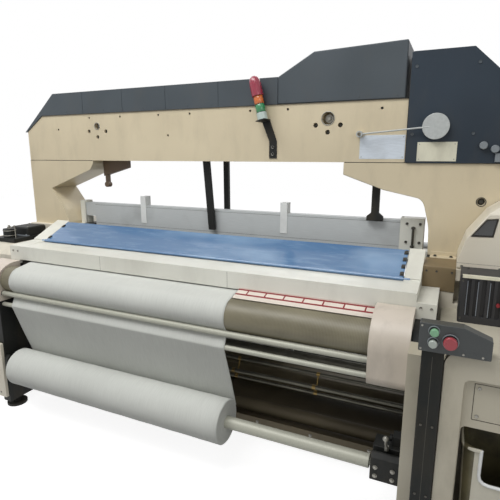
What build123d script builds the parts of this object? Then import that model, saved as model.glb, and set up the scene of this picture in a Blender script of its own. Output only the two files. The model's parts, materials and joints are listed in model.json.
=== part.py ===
from build123d import *
from math import asin, atan2, cos, degrees, pi, radians, sin, tan
import os

os.makedirs("parts", exist_ok=True)

# Axes: X to the weaver's right, Y from the cloth side to the warp side, Z up
# Clearances
run_gap = 0.08
slide_gap = 0.3
seat_gap = 0.5
sheet_gap = 0.5

# Side frames, and what stands outside them on either hand
opening_width = 2370
frame_thick = 80
frame_top_z = 1090
frame_front_y = -715
foot_height = 50
foot_pad_r = 60
foot_screw_r = 16
arch_overhang = 390
chest_depth = 240
chest_gap = 10
cabinet_gap = 2
cabinet_width = 908
left_reach = chest_depth + chest_gap + arch_overhang
overall_width = left_reach + frame_thick + opening_width + cabinet_gap + cabinet_width
left_end_x = -overall_width / 2
right_end_x = overall_width / 2
left_outer_x = left_end_x + left_reach
left_inner_x = left_outer_x + frame_thick
right_inner_x = left_inner_x + opening_width
right_outer_x = right_inner_x + frame_thick
opening_middle_x = (left_inner_x + right_inner_x) / 2

# Arch over the loom
arch_depth = 240
beam_bottom_z = 1560
beam_height = 315
beam_top_z = beam_bottom_z + beam_height
arch_left_x = left_outer_x - arch_overhang
arch_joint_x = right_inner_x - 140
cover_height = 145
cover_lip = 6
cover_top_z = beam_top_z + cover_height
cowl_width = 680
cowl_rise = 130
cowl_slope_x = 203
cowl_slope_rise = 114
cowl_end_gap = 20
cowl_left_x = arch_joint_x - cowl_end_gap - cowl_width
drive_box_width = 600
drive_box_height = 530
drive_box_slope_x = 275
drive_box_side_height = 220
leg_right_width = 410

# Rollers at the cloth side, as distances in Y and Z
take_up_y = -620
take_up_z = 845
take_up_r = 80
journal_r = 20
press_r = 15
press_angle = 50
nip_ease = 1
guide_r = 13
guide_drop = 70
cloth_thick = 1.5
roll_y = -680
roll_z = 302
roll_r = 111
core_r = 30
cloth_left_x = left_inner_x + 88
cloth_width = 1455
cloth_right_x = cloth_left_x + cloth_width

# Nose of the side frames round the take-up roller, and the guard skin over it
frame_nose_z = take_up_z + take_up_r
frame_nose_r = 132
guard_over_frame = 18
guard_wall = 4

# Breast cover and its hinged splash guard
rim_z = 1036
rim_front_y = -540
rim_back_y = -372
face_bottom_z = frame_nose_z + 24
left_cheek_width = 110
right_cheek_width = 72
sheet_thick = 4
guard_slope = 25
guard_length = 235
guard_thick = 6
guard_pin_r = 6
cheek_back_y = rim_back_y + guard_length * cos(radians(guard_slope)) + 16
cheek_top_z = rim_z + (cheek_back_y - rim_back_y) * tan(radians(guard_slope))

# Healds, reed and sley
heald_frame_count = 4
heald_frame_y = 125
heald_frame_thick = 10
heald_frame_pitch = 15
heald_back_y = heald_frame_y + (heald_frame_count - 1) * heald_frame_pitch + heald_frame_thick
rail_height = 168
rail_top_z = 1248
bottom_rail_height = 112
bottom_rail_z = 708
stay_width = 22
stay_gap = 22
heald_pitch = 50
sley_pivot_y = 20
sley_pivot_z = 560
rocking_shaft_r = 35
reed_bottom_z = 935
reed_height = 120
reed_thick = 12
fell_y = -75

# Warp side
warp_flange_r = 400
flange_over_yarn = 70
warp_flange_thick = 14
warp_barrel_r = 75
warp_yarn_r = warp_flange_r - flange_over_yarn
warp_journal_r = 30
warp_clear = 40
warp_beam_y = heald_back_y + warp_clear + warp_yarn_r
warp_beam_z = 500
back_rest_offset = 240
back_rest_y = warp_beam_y + back_rest_offset
back_rest_z = 960
back_rest_r = 55
warp_line_z = 985
frame_back_y = back_rest_y + 110

# Drive
main_shaft_y = -60
main_shaft_z = 420
main_shaft_r = 25
drive_pulley_r = 150
motor_y = 620
motor_z = 270
motor_r = 105
motor_pulley_r = 60
pulley_width = 60
belt_thick = 10

# Right-hand cabinet, column and console
cabinet_left_x = right_inner_x + cabinet_gap
cabinet_front_y = -850
cabinet_depth = 588
cabinet_back_y = cabinet_front_y + cabinet_depth
deck_z = 900
bezel_depth = 50
bezel_left_x = right_inner_x + 125
bezel_rise = 52
bezel_top_z = deck_z + bezel_rise
bezel_corner_r = 46
column_left_x = right_inner_x + 50
column_width = 72
console_left_x = right_inner_x + 38
console_width = 222
console_height = 100
console_bottom_z = bezel_top_z
console_proud = 25
console_front_y = cabinet_front_y - bezel_depth - console_proud
console_seat = 20
console_depth = console_proud + console_seat
button_proud = 25


def keep(builder, name):
    builder.part.label = name
    export_step(builder.part, f"parts/{name}.step")


def side_plane(x):
    return Plane.YZ.offset(x)


def front_plane(y):
    return Plane.XZ.offset(-y)


def tangent_run(start, end):
    # Straight run between two wrapped circles: each is (y, z, radius, side), side 1 keeps it on the left
    (y1, z1, r1, s1), (y2, z2, r2, s2) = start, end
    length = ((y2 - y1) ** 2 + (z2 - z1) ** 2) ** 0.5
    heading = atan2(z2 - z1, y2 - y1) - asin((s2 * r2 - s1 * r1) / length)
    normal_y, normal_z = -sin(heading), cos(heading)
    leave = (y1 - s1 * r1 * normal_y, z1 - s1 * r1 * normal_z)
    meet = (y2 - s2 * r2 * normal_y, z2 - s2 * r2 * normal_z)
    return leave, meet


def web_path(stations):
    # Lines and arcs of a web that runs over the stations in turn
    runs = [tangent_run(a, b) for a, b in zip(stations, stations[1:])]
    for index, (leave, meet) in enumerate(runs):
        Line(leave, meet)
        if index + 1 < len(runs):
            cy, cz, radius, side = stations[index + 1]
            begin = atan2(meet[1] - cz, meet[0] - cy)
            leave_next = runs[index + 1][0]
            finish = atan2(leave_next[1] - cz, leave_next[0] - cy)
            sweep_angle = (finish - begin) % (2 * pi)
            if side < 0:
                sweep_angle -= 2 * pi
            CenterArc((cy, cz), radius, degrees(begin), degrees(sweep_angle))


# Bearing places in the side frames, each (y, z, shaft radius)
press_reach = take_up_r + press_r + cloth_thick + 2 * sheet_gap + nip_ease
press_y = take_up_y - press_reach * cos(radians(press_angle))
press_z = take_up_z - press_reach * sin(radians(press_angle))
guide_y = press_y
guide_z = press_z - guide_drop
pin_r = 10
frame_bores = [
    (take_up_y, take_up_z, journal_r),
    (press_y, press_z, pin_r),
    (sley_pivot_y, sley_pivot_z, rocking_shaft_r),
    (main_shaft_y, main_shaft_z, main_shaft_r),
    (warp_beam_y, warp_beam_z, warp_journal_r),
    (back_rest_y, back_rest_z, journal_r),
]

# Side frames: one casting each, with a raised rim round the weight-saving windows
foot_front_y = frame_front_y + 75
foot_back_y = warp_beam_y + 60
foot_half = 90
belly_z = 150
frame_nose_y = frame_front_y + frame_nose_r
frame_step_y = cheek_back_y + 6
rear_rise = 50
frame_outline = [
    (frame_front_y, frame_nose_z - frame_nose_r),
    (frame_front_y, foot_height),
    (foot_front_y + foot_half, foot_height),
    (foot_front_y + foot_half + 100, belly_z),
    (foot_back_y - foot_half - 80, belly_z),
    (foot_back_y - foot_half, foot_height),
    (foot_back_y + foot_half, foot_height),
    (foot_back_y + foot_half, warp_beam_z + 120),
    (frame_back_y, back_rest_z - 100),
    (frame_back_y, back_rest_z + rear_rise),
    (back_rest_y - 190, frame_top_z),
    (frame_step_y + rear_rise, frame_top_z),
    (frame_step_y, frame_nose_z),
    (frame_nose_y, frame_nose_z),
]
frame_windows = [(-330, 440, 280, 380), (230, 430, 260, 300), (-260, 812, 300, 176)]
window_rim = 18
frame_web = frame_thick - window_rim
boss_wall = 28


def side_frame(inner_x, outward):
    with BuildPart() as casting:
        with BuildSketch(side_plane(inner_x)) as profile:
            with BuildLine():
                Polyline(*frame_outline)
                RadiusArc(frame_outline[-1], frame_outline[0], -frame_nose_r)
            make_face()
        extrude(amount=outward * frame_web)
        with BuildSketch(side_plane(inner_x + outward * frame_web)):
            for y, z, wide, high in frame_windows:
                with Locations((y, z)):
                    RectangleRounded(wide + 2 * window_rim, high + 2 * window_rim, 60)
            for y, z, shaft_r in frame_bores:
                with Locations((y, z)):
                    Circle(shaft_r + boss_wall)
        extrude(amount=outward * window_rim)
        with BuildSketch(side_plane(inner_x)):
            for y, z, wide, high in frame_windows:
                with Locations((y, z)):
                    RectangleRounded(wide, high, 50)
            for y, z, shaft_r in frame_bores:
                with Locations((y, z)):
                    Circle(shaft_r + run_gap)
        extrude(amount=outward * frame_thick, mode=Mode.SUBTRACT)
        extrude(profile.sketch, amount=outward * frame_thick, mode=Mode.INTERSECT)
        fillet(casting.edges().filter_by(Axis.X).filter_by(GeomType.LINE).sort_by(Axis.Z)[-3:], 25)
    return casting


left_frame = side_frame(left_inner_x, -1)
keep(left_frame, "left_side_frame")
right_frame = side_frame(right_inner_x, 1)
keep(right_frame, "right_side_frame")

# Cross members between the side frames
breast_nose_r = 25
breast_front_y = take_up_y + take_up_r + 12
breast_top_z = take_up_z + take_up_r + 20
breast_depth = 145
breast_height = 140
with BuildPart() as breast_beam:
    with BuildSketch(side_plane(left_inner_x)) as breast_section:
        with Locations((breast_front_y + breast_depth / 2, breast_top_z - breast_height / 2)):
            Rectangle(breast_depth, breast_height)
        nose = breast_section.vertices().sort_by(Axis.X)[0:2].sort_by(Axis.Y)[-1]
        fillet(nose, breast_nose_r)
    extrude(amount=opening_width)
    with BuildSketch(side_plane(left_inner_x)):
        with Locations((breast_front_y + breast_depth / 2, breast_top_z - breast_height / 2)):
            Rectangle(breast_depth - 60, breast_height - 60)
    extrude(amount=opening_width, mode=Mode.SUBTRACT)
keep(breast_beam, "breast_beam")

lower_beam_size = 120
lower_beam_z = 240
cross_tube_y = -330
cross_tube_z = 200
cross_tube_r = 36
pan_front_y = -430
pan_back_y = warp_beam_y - 280
pan_lip = 45
pan_thick = 3
with BuildPart() as cross_members:
    with BuildSketch(side_plane(left_inner_x)):
        with Locations((0, lower_beam_z)):
            RectangleRounded(lower_beam_size, lower_beam_size, 14)
            RectangleRounded(lower_beam_size - 16, lower_beam_size - 16, 8, mode=Mode.SUBTRACT)
        with Locations((cross_tube_y, cross_tube_z)):
            Circle(cross_tube_r)
            Circle(cross_tube_r - 5, mode=Mode.SUBTRACT)
    extrude(amount=opening_width)
    with BuildSketch(side_plane(left_inner_x)):
        with BuildLine():
            Polyline(
                (pan_front_y, belly_z + pan_lip),
                (pan_front_y, belly_z),
                (pan_back_y, belly_z),
                (pan_back_y, belly_z + pan_lip),
                (pan_back_y - pan_thick, belly_z + pan_lip),
                (pan_back_y - pan_thick, belly_z + pan_thick),
                (pan_front_y + pan_thick, belly_z + pan_thick),
                (pan_front_y + pan_thick, belly_z + pan_lip),
                close=True,
            )
        make_face()
    extrude(amount=opening_width)
keep(cross_members, "cross_members")

# Gear cases outside the side frames, which carry the legs of the arch
left_case_front_y = -450
left_step_z = 1000
left_step_back_y = -40
right_case_front_y = cabinet_back_y
case_back_y = warp_beam_y - 100
case_bottom_z = 300
left_case_mid_x = arch_left_x - chest_gap
chest_low_z = 130
chest_top_z = left_step_z - 10
chest_edge_r = 28
lip_right_x = left_inner_x - 6
with BuildPart() as left_case:
    with BuildSketch(side_plane(left_case_mid_x)):
        with BuildLine():
            Polyline(
                (left_case_front_y, foot_height),
                (left_case_front_y, left_step_z - 60),
                (left_case_front_y + 60, left_step_z),
                (left_step_back_y, left_step_z),
                (left_step_back_y, frame_top_z),
                (case_back_y, frame_top_z),
                (case_back_y, foot_height),
                close=True,
            )
        make_face()
    extrude(amount=left_outer_x - left_case_mid_x)
    with BuildSketch(side_plane(left_end_x)):
        with Locations(((left_case_front_y + case_back_y) / 2, (chest_low_z + chest_top_z) / 2)):
            RectangleRounded(case_back_y - left_case_front_y - 60, chest_top_z - chest_low_z, 70)
    extrude(amount=chest_depth)
    outer_rim = left_case.faces().sort_by(Axis.X)[0].edges()
    fillet(outer_rim, chest_edge_r)
    with BuildSketch(Plane.XY.offset(foot_height + 40)):
        with Locations(((left_outer_x - 60 + lip_right_x) / 2, frame_front_y - 12)):
            Rectangle(lip_right_x - left_outer_x + 60, 20)
        with Locations((left_outer_x - 31, (frame_front_y - 22 + left_case_front_y) / 2)):
            Rectangle(58, left_case_front_y - frame_front_y + 22)
    extrude(amount=360)
keep(left_case, "left_gear_case")

case_edge_r = 20
case_window_x = right_outer_x + 95
case_window_wide = 70
case_window_high = 110
with BuildPart() as right_case:
    with BuildSketch(side_plane(right_outer_x)):
        with BuildLine():
            Polyline(
                (right_case_front_y, case_bottom_z),
                (right_case_front_y, frame_top_z),
                (case_back_y, frame_top_z),
                (case_back_y, case_bottom_z + 90),
                (case_back_y - 90, case_bottom_z),
                close=True,
            )
        make_face()
    extrude(amount=leg_right_width - frame_thick + 60)
    fillet(right_case.faces().sort_by(Axis.X)[-1].edges(), case_edge_r)
    with BuildSketch(side_plane(right_outer_x)):
        with Locations((main_shaft_y, main_shaft_z)):
            Circle(main_shaft_r + run_gap)
    extrude(amount=leg_right_width, mode=Mode.SUBTRACT)
    with BuildSketch(front_plane(right_case_front_y)):
        with Locations((case_window_x, frame_top_z - case_window_high)):
            Rectangle(case_window_wide, case_window_high)
    extrude(amount=-60, mode=Mode.SUBTRACT)
keep(right_case, "right_gear_case")
right_case_end_x = right_outer_x + leg_right_width - frame_thick + 60

# Levelling feet under the frames, the left case and the cabinet
cabinet_foot_x = right_end_x - 130
foot_places = [
    (left_inner_x - frame_thick / 2, foot_front_y),
    (left_inner_x - frame_thick / 2, foot_back_y),
    (right_inner_x + frame_thick / 2, foot_front_y),
    (right_inner_x + frame_thick / 2, foot_back_y),
    (left_case_mid_x + 90, left_case_front_y + 90),
    (left_case_mid_x + 90, case_back_y - 90),
    (cabinet_foot_x, cabinet_front_y + 110),
    (cabinet_foot_x, cabinet_back_y - 110),
]
with BuildPart() as feet:
    with BuildSketch(Plane.XY):
        with Locations(*foot_places):
            Circle(foot_pad_r)
    extrude(amount=16)
    with BuildSketch(Plane.XY.offset(16)):
        with Locations(*foot_places):
            RegularPolygon(24, 6)
    extrude(amount=14)
    with BuildSketch(Plane.XY.offset(30)):
        with Locations(*foot_places):
            Circle(foot_screw_r)
    extrude(amount=foot_height - 30)
keep(feet, "levelling_feet")

# Arch legs
leg_inset = 5
left_foot_inner_x = left_outer_x - 36
left_foot_rise = 20
waist_x = arch_left_x + 200
waist_z = frame_top_z + 267
waist_run = 108
waist_drop = 137
gusset_x = left_inner_x + 149
gusset_edge = 18
gusset_nose_run = 34
gusset_nose_drop = 64
leg_panel_height = 300
leg_panel_depth = 14
leg_bolt_r = 9
leg_bolt_deep = 30
leg_bolt_span = 230
with BuildPart() as leg_left:
    with BuildSketch(front_plane(arch_depth)):
        with BuildLine():
            Polyline(
                (arch_left_x + leg_inset, frame_top_z),
                (arch_left_x + leg_inset, beam_bottom_z),
                (gusset_x, beam_bottom_z),
                (gusset_x, beam_bottom_z - gusset_edge),
                (gusset_x - gusset_nose_run, beam_bottom_z - gusset_nose_drop),
                (waist_x, waist_z),
                (waist_x + waist_run, waist_z - waist_drop),
                (left_foot_inner_x, frame_top_z + left_foot_rise),
                (left_foot_inner_x, frame_top_z),
                close=True,
            )
        make_face()
    extrude(amount=arch_depth)
    with BuildSketch(side_plane(arch_left_x + leg_inset)):
        with Locations((arch_depth / 2, (frame_top_z + beam_bottom_z) / 2)):
            RectangleRounded(arch_depth - 70, leg_panel_height, 30)
    extrude(amount=leg_panel_depth, mode=Mode.SUBTRACT)
    with BuildSketch(Plane.XY.offset(frame_top_z)):
        with Locations(((arch_left_x + left_foot_inner_x) / 2, arch_depth / 2)):
            with GridLocations(leg_bolt_span, arch_depth - 70, 2, 2):
                Circle(leg_bolt_r)
    extrude(amount=leg_bolt_deep, mode=Mode.SUBTRACT)
keep(leg_left, "arch_leg_left")

right_leg_out_x = right_inner_x + leg_right_width
leg_foot_x = right_inner_x + 2
leg_straight = 120
leg_bow_x = right_inner_x - 3
leg_bend_x = right_inner_x - 24
leg_bend_rise = 222
shoulder_x = right_inner_x - 74
shoulder_rise = 293
gusset_toe_x = right_inner_x - 456
gusset_toe_z = beam_bottom_z - 66
gusset_knee_x = right_inner_x - 241
gusset_knee_z = frame_top_z + 328
gusset_fall = (gusset_toe_z - gusset_knee_z) / (gusset_knee_x - gusset_toe_x)
leg_hole_deep = 70
leg_holes = [(right_inner_x + 225, frame_top_z + 285, 17), (right_inner_x + 303, frame_top_z + 269, 15)]
with BuildPart() as leg_right:
    with BuildSketch(front_plane(arch_depth)):
        with BuildLine():
            Line((leg_foot_x, frame_top_z), (leg_bow_x, frame_top_z + leg_straight))
            Spline(
                (leg_bow_x, frame_top_z + leg_straight),
                (leg_bend_x, frame_top_z + leg_bend_rise),
                (shoulder_x, frame_top_z + shoulder_rise),
                tangents=[(-0.04, 1), (-1, 0.21)],
            )
            Polyline(
                (shoulder_x, frame_top_z + shoulder_rise),
                (gusset_knee_x, gusset_knee_z),
                (gusset_toe_x, gusset_toe_z),
                (gusset_toe_x, beam_bottom_z),
                (right_leg_out_x, beam_bottom_z),
                (right_leg_out_x, frame_top_z),
                (leg_foot_x, frame_top_z),
            )
        make_face()
    extrude(amount=arch_depth)
    with BuildSketch(front_plane(0)):
        for hole_x, hole_z, hole_r in leg_holes:
            with Locations((hole_x, hole_z)):
                Circle(hole_r)
    extrude(amount=-leg_hole_deep, mode=Mode.SUBTRACT)
keep(leg_right, "arch_leg_right")

# Arch beam with two groups of drive holes, a row of cover screws and the stud of the call flag
beam_left_x = arch_left_x + 8
beam_chamfer_x = 162
beam_chamfer_z = 108
group_deep = 60
group_hole_r = 13
hole_groups = [(arch_left_x + 678, 23, 74), (arch_joint_x - 410, 36, 68)]
group_z = beam_top_z - 84
screw_r = 7
screw_deep = 20
screw_row_z = beam_top_z - 28
beam_screws = [
    (arch_left_x + 318, beam_top_z - 100),
    (arch_left_x + 612, screw_row_z),
    (arch_left_x + 880, screw_row_z),
    (arch_left_x + 1187, screw_row_z),
    (arch_left_x + 1256, beam_top_z - 155),
    (arch_left_x + 1420, screw_row_z),
    (arch_joint_x - 870, screw_row_z),
    (arch_joint_x - 640, screw_row_z),
    (arch_joint_x - 130, beam_top_z - 42),
]
flag_x = arch_joint_x - 231
flag_z = beam_bottom_z + 144
flag_y = -36
flag_reach = 366
flag_rise = 31
flag_r = 62
stud_r = 8
with BuildPart() as arch_beam:
    with BuildSketch(front_plane(arch_depth)):
        with BuildLine():
            Polyline(
                (beam_left_x, beam_bottom_z),
                (beam_left_x, beam_top_z - beam_chamfer_z),
                (beam_left_x + beam_chamfer_x, beam_top_z),
                (arch_joint_x, beam_top_z),
                (arch_joint_x, beam_bottom_z),
                close=True,
            )
        make_face()
    extrude(amount=arch_depth)
    with BuildSketch(front_plane(0)):
        for group_x, centre_r, spread in hole_groups:
            with Locations((group_x, group_z)):
                Circle(centre_r)
            with Locations(
                (group_x - spread, group_z - 34),
                (group_x + spread, group_z - 36),
                (group_x, group_z - 72),
            ):
                Circle(group_hole_r)
    extrude(amount=-group_deep, mode=Mode.SUBTRACT)
    with BuildSketch(front_plane(0)):
        with Locations(*beam_screws):
            Circle(screw_r)
    extrude(amount=-screw_deep, mode=Mode.SUBTRACT)
    with BuildSketch(front_plane(0)):
        with Locations((flag_x, flag_z)):
            Circle(18)
    extrude(amount=-flag_y - 12 - slide_gap)
    with BuildSketch(front_plane(0)):
        with Locations((flag_x, flag_z)):
            Circle(stud_r)
    extrude(amount=-flag_y + 16)
keep(arch_beam, "arch_beam")

# Slate sheet covers over the beam
cover_left_x = beam_left_x - 20
cover_slope_x = 305
with BuildPart() as beam_cover:
    with BuildSketch(front_plane(arch_depth + cover_lip)):
        with BuildLine():
            Polyline(
                (cover_left_x, beam_top_z - beam_chamfer_z - 4),
                (cover_left_x + cover_slope_x, cover_top_z),
                (cowl_left_x, cover_top_z),
                (cowl_left_x, beam_top_z),
                (beam_left_x + beam_chamfer_x, beam_top_z),
                (beam_left_x, beam_top_z - beam_chamfer_z),
                close=True,
            )
        make_face()
    extrude(amount=arch_depth + 2 * cover_lip)
    with BuildSketch(front_plane(-cover_lip)):
        for seam in (0.16, 0.36, 0.56, 0.78):
            seam_x = cover_left_x + cover_slope_x + seam * (cowl_left_x - cover_left_x - cover_slope_x)
            with Locations((seam_x, beam_top_z + cover_height / 2)):
                Rectangle(3, cover_height - 8)
    extrude(amount=-2, mode=Mode.SUBTRACT)
keep(beam_cover, "beam_cover")

with BuildPart() as cowl:
    with BuildSketch(front_plane(arch_depth + cover_lip)):
        with BuildLine():
            Polyline(
                (cowl_left_x, beam_top_z),
                (cowl_left_x, cover_top_z),
                (cowl_left_x + cowl_slope_x, cover_top_z + cowl_slope_rise),
                (cowl_left_x + cowl_width, cover_top_z + cowl_rise),
                (cowl_left_x + cowl_width, beam_top_z),
                close=True,
            )
        make_face()
    extrude(amount=arch_depth + 2 * cover_lip)
    fillet(cowl.edges().filter_by(Axis.Y).sort_by(Axis.Z)[-2:], 8)
keep(cowl, "raised_cowl")

# Shedding drive box at the right of the arch
drive_box_right_x = arch_joint_x + drive_box_width
drive_box_top_z = beam_bottom_z + drive_box_height
with BuildPart() as drive_box:
    with BuildSketch(front_plane(arch_depth + 60)):
        with BuildLine():
            Polyline(
                (arch_joint_x, beam_bottom_z),
                (arch_joint_x, drive_box_top_z),
                (arch_joint_x + drive_box_slope_x, drive_box_top_z),
                (drive_box_right_x, beam_bottom_z + drive_box_side_height),
                (drive_box_right_x, beam_bottom_z),
                close=True,
            )
        make_face()
    extrude(amount=arch_depth + 70)
    fillet(drive_box.edges().filter_by(Axis.Y).sort_by(Axis.Z)[-4:], 10)
    with BuildSketch(front_plane(arch_depth + 60)):
        with Locations((arch_joint_x + drive_box_slope_x, beam_bottom_z + 190)):
            with GridLocations(0, 30, 1, 6):
                SlotOverall(260, 12)
    extrude(amount=8, mode=Mode.SUBTRACT)
keep(drive_box, "shed_drive_box")

# Brown hanger bracket with its pin, under the beam
hanger_x = left_inner_x + 158
hanger_y = 90
hanger_thick = 40
hanger_width = 216
hanger_near = 50
hanger_far = 110
hanger_pin_r = 19
with BuildPart() as hanger:
    with BuildSketch(front_plane(hanger_y + hanger_thick)):
        with BuildLine():
            Polyline(
                (hanger_x, beam_bottom_z),
                (hanger_x + hanger_width, beam_bottom_z),
                (hanger_x + hanger_width, beam_bottom_z - hanger_near),
                (hanger_x, beam_bottom_z - hanger_far),
                close=True,
            )
        make_face()
        with Locations((hanger_x + 20, beam_bottom_z - hanger_far - 20)):
            Rectangle(14, 90)
        with Locations((hanger_x + 20, beam_bottom_z - hanger_far - 60)):
            Circle(hanger_pin_r)
    extrude(amount=hanger_thick)
keep(hanger, "hanger_bracket")

# Black posts that guide the heald frames: each (top x, foot x, front y, top z, foot z, width)
post_depth = 28
post_front_y = heald_frame_y - post_depth - 14
post_rear_y = heald_back_y + 17
heald_posts = [
    (opening_middle_x - 177, opening_middle_x - 142, post_front_y, beam_bottom_z, rail_top_z - 130, 44),
    (opening_middle_x - 92, opening_middle_x - 90, post_rear_y, beam_bottom_z, rail_top_z - 100, 36),
]
foot_post_x = right_inner_x - 290
foot_post_z = rail_top_z - 8
foot_post_half = 21
shoe_half = 45
shoe_edge = 25
shoe_rise = 45
gusset_under_z = gusset_knee_z + gusset_fall * (gusset_knee_x - foot_post_x)
with BuildPart() as posts:
    for top_x, foot_x, near_y, top_z, foot_z, wide in heald_posts:
        with BuildSketch(front_plane(near_y + post_depth)):
            with BuildLine():
                Polyline(
                    (top_x - wide / 2, top_z),
                    (top_x + wide / 2, top_z),
                    (foot_x + wide / 2, foot_z),
                    (foot_x - wide / 2, foot_z),
                    close=True,
                )
            make_face()
        extrude(amount=post_depth)
    with BuildSketch(front_plane(post_front_y + post_depth)):
        with BuildLine():
            Polyline(
                (foot_post_x - foot_post_half, gusset_under_z + foot_post_half * gusset_fall),
                (foot_post_x + foot_post_half, gusset_under_z - foot_post_half * gusset_fall),
                (foot_post_x + foot_post_half, foot_post_z + shoe_rise),
                (foot_post_x + shoe_half, foot_post_z + shoe_edge),
                (foot_post_x + shoe_half, foot_post_z),
                (foot_post_x - shoe_half, foot_post_z),
                (foot_post_x - shoe_half, foot_post_z + shoe_edge),
                (foot_post_x - foot_post_half, foot_post_z + shoe_rise),
                close=True,
            )
        make_face()
    extrude(amount=post_depth)
keep(posts, "heald_guide_posts")

# Signal lamp stack on a bent strip in front of the beam
lamp_x = opening_middle_x + 276
lamp_y = -48
lamp_foot_z = beam_bottom_z + 230
lamp_lean = 14
lamp_slope = tan(radians(lamp_lean))
strip_width = 46
strip_thick = 5
strip_head = 52
strip_foot_x = lamp_x + 44
strip_foot_z = beam_bottom_z + 20
strip_bend_z = beam_bottom_z + 115
strip_screws = [(strip_foot_x, strip_foot_z + 24), (strip_foot_x, strip_foot_z + 62)]
lamp_plane = Plane(
    origin=(lamp_x, lamp_y, lamp_foot_z),
    x_dir=(cos(radians(lamp_lean)), 0, sin(radians(lamp_lean))),
    z_dir=(-sin(radians(lamp_lean)), 0, cos(radians(lamp_lean))),
)
with BuildPart() as lamp_strip:
    with BuildSketch(front_plane(0)):
        with BuildLine():
            Polyline(
                (strip_foot_x - strip_width / 2, strip_foot_z),
                (strip_foot_x + strip_width / 2, strip_foot_z),
                (strip_foot_x + strip_width / 2, strip_bend_z),
                (lamp_x + strip_width / 2, lamp_foot_z - 3 + strip_width / 2 * lamp_slope),
                (lamp_x - strip_width / 2, lamp_foot_z - 3 - strip_width / 2 * lamp_slope),
                (strip_foot_x - strip_width / 2, strip_bend_z),
                close=True,
            )
        make_face()
    extrude(amount=strip_thick)
    with BuildSketch(lamp_plane):
        Rectangle(strip_head, -2 * lamp_y)
    extrude(amount=-strip_thick)
    with BuildSketch(front_plane(-strip_thick)):
        with Locations(*strip_screws):
            Circle(screw_r)
    extrude(amount=4)
    split(bisect_by=front_plane(0), keep=Keep.TOP)
keep(lamp_strip, "lamp_bracket")

lens_r = 27
lens_edge = 2
base_height = 42
lens_height = 46
with BuildPart() as lamp_base:
    with BuildSketch(lamp_plane):
        Circle(lens_r + 2)
    extrude(amount=base_height)
    chamfer(lamp_base.edges().filter_by(GeomType.CIRCLE).sort_by(Axis.Z)[-1], lens_edge)
keep(lamp_base, "lamp_base")


def lens(level, name):
    with BuildPart() as shade:
        with BuildSketch(lamp_plane.offset(base_height + level * lens_height)):
            Circle(lens_r)
        extrude(amount=lens_height)
        chamfer(shade.edges().filter_by(GeomType.CIRCLE), lens_edge)
    keep(shade, name)


lens(0, "lamp_green")
lens(1, "lamp_orange")
dome_r = 33
dome_height = 108
dome_steps = [(1, 0), (1, 0.6), (0.93, 0.78), (0.72, 0.92), (0.4, 1), (0, 1)]
dome_plane = Plane(
    origin=lamp_plane.offset(base_height + 2 * lens_height).origin,
    x_dir=lamp_plane.x_dir,
    z_dir=(0, -1, 0),
)
with BuildPart() as lamp_red:
    with BuildSketch(dome_plane):
        with BuildLine():
            Polyline((0, 0), *[(dome_r * across, dome_height * up) for across, up in dome_steps], close=True)
        make_face()
    revolve(axis=Axis(dome_plane.origin, lamp_plane.z_dir))
keep(lamp_red, "lamp_red")

# Call flag: a disc on a wire arm that turns on a stud in the beam
with BuildPart() as flag:
    arm_angle = degrees(atan2(flag_rise, flag_reach))
    with BuildSketch(Plane.YZ.offset(flag_x)):
        with Locations((flag_y, flag_z)):
            Circle(4)
    extrude(amount=flag_reach - 30)
    with BuildSketch(front_plane(flag_y + 12)):
        with Locations((flag_x, flag_z)):
            Circle(16)
    extrude(amount=24)
    with BuildSketch(front_plane(flag_y + 3)):
        with Locations((flag_x + flag_reach, flag_z)):
            Circle(flag_r)
    extrude(amount=6)
    fillet(flag.edges().filter_by(GeomType.CIRCLE).group_by(SortBy.RADIUS)[-1], 2)
    with BuildSketch(front_plane(flag_y + 12)):
        with Locations((flag_x, flag_z)):
            Circle(stud_r + run_gap)
    extrude(amount=24, mode=Mode.SUBTRACT)
flag.part = flag.part.rotate(Axis((flag_x, flag_y, flag_z), (0, -1, 0)), arm_angle)
keep(flag, "call_flag")

# Heald frames: top and bottom rails, side stays, guide tabs and the row of healds between the rails
stay_left_x = left_inner_x + stay_gap
stay_right_x = right_inner_x - 140
top_ear_x = left_inner_x - 96
ear_height = 100
tab_places = [opening_middle_x - 715, opening_middle_x + 345]
tab_width = 44
tab_height = 188
tab_rise = 64
tab_thick = 3
heald_thick = 3
heald_width = 4
heald_root = 4


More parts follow.
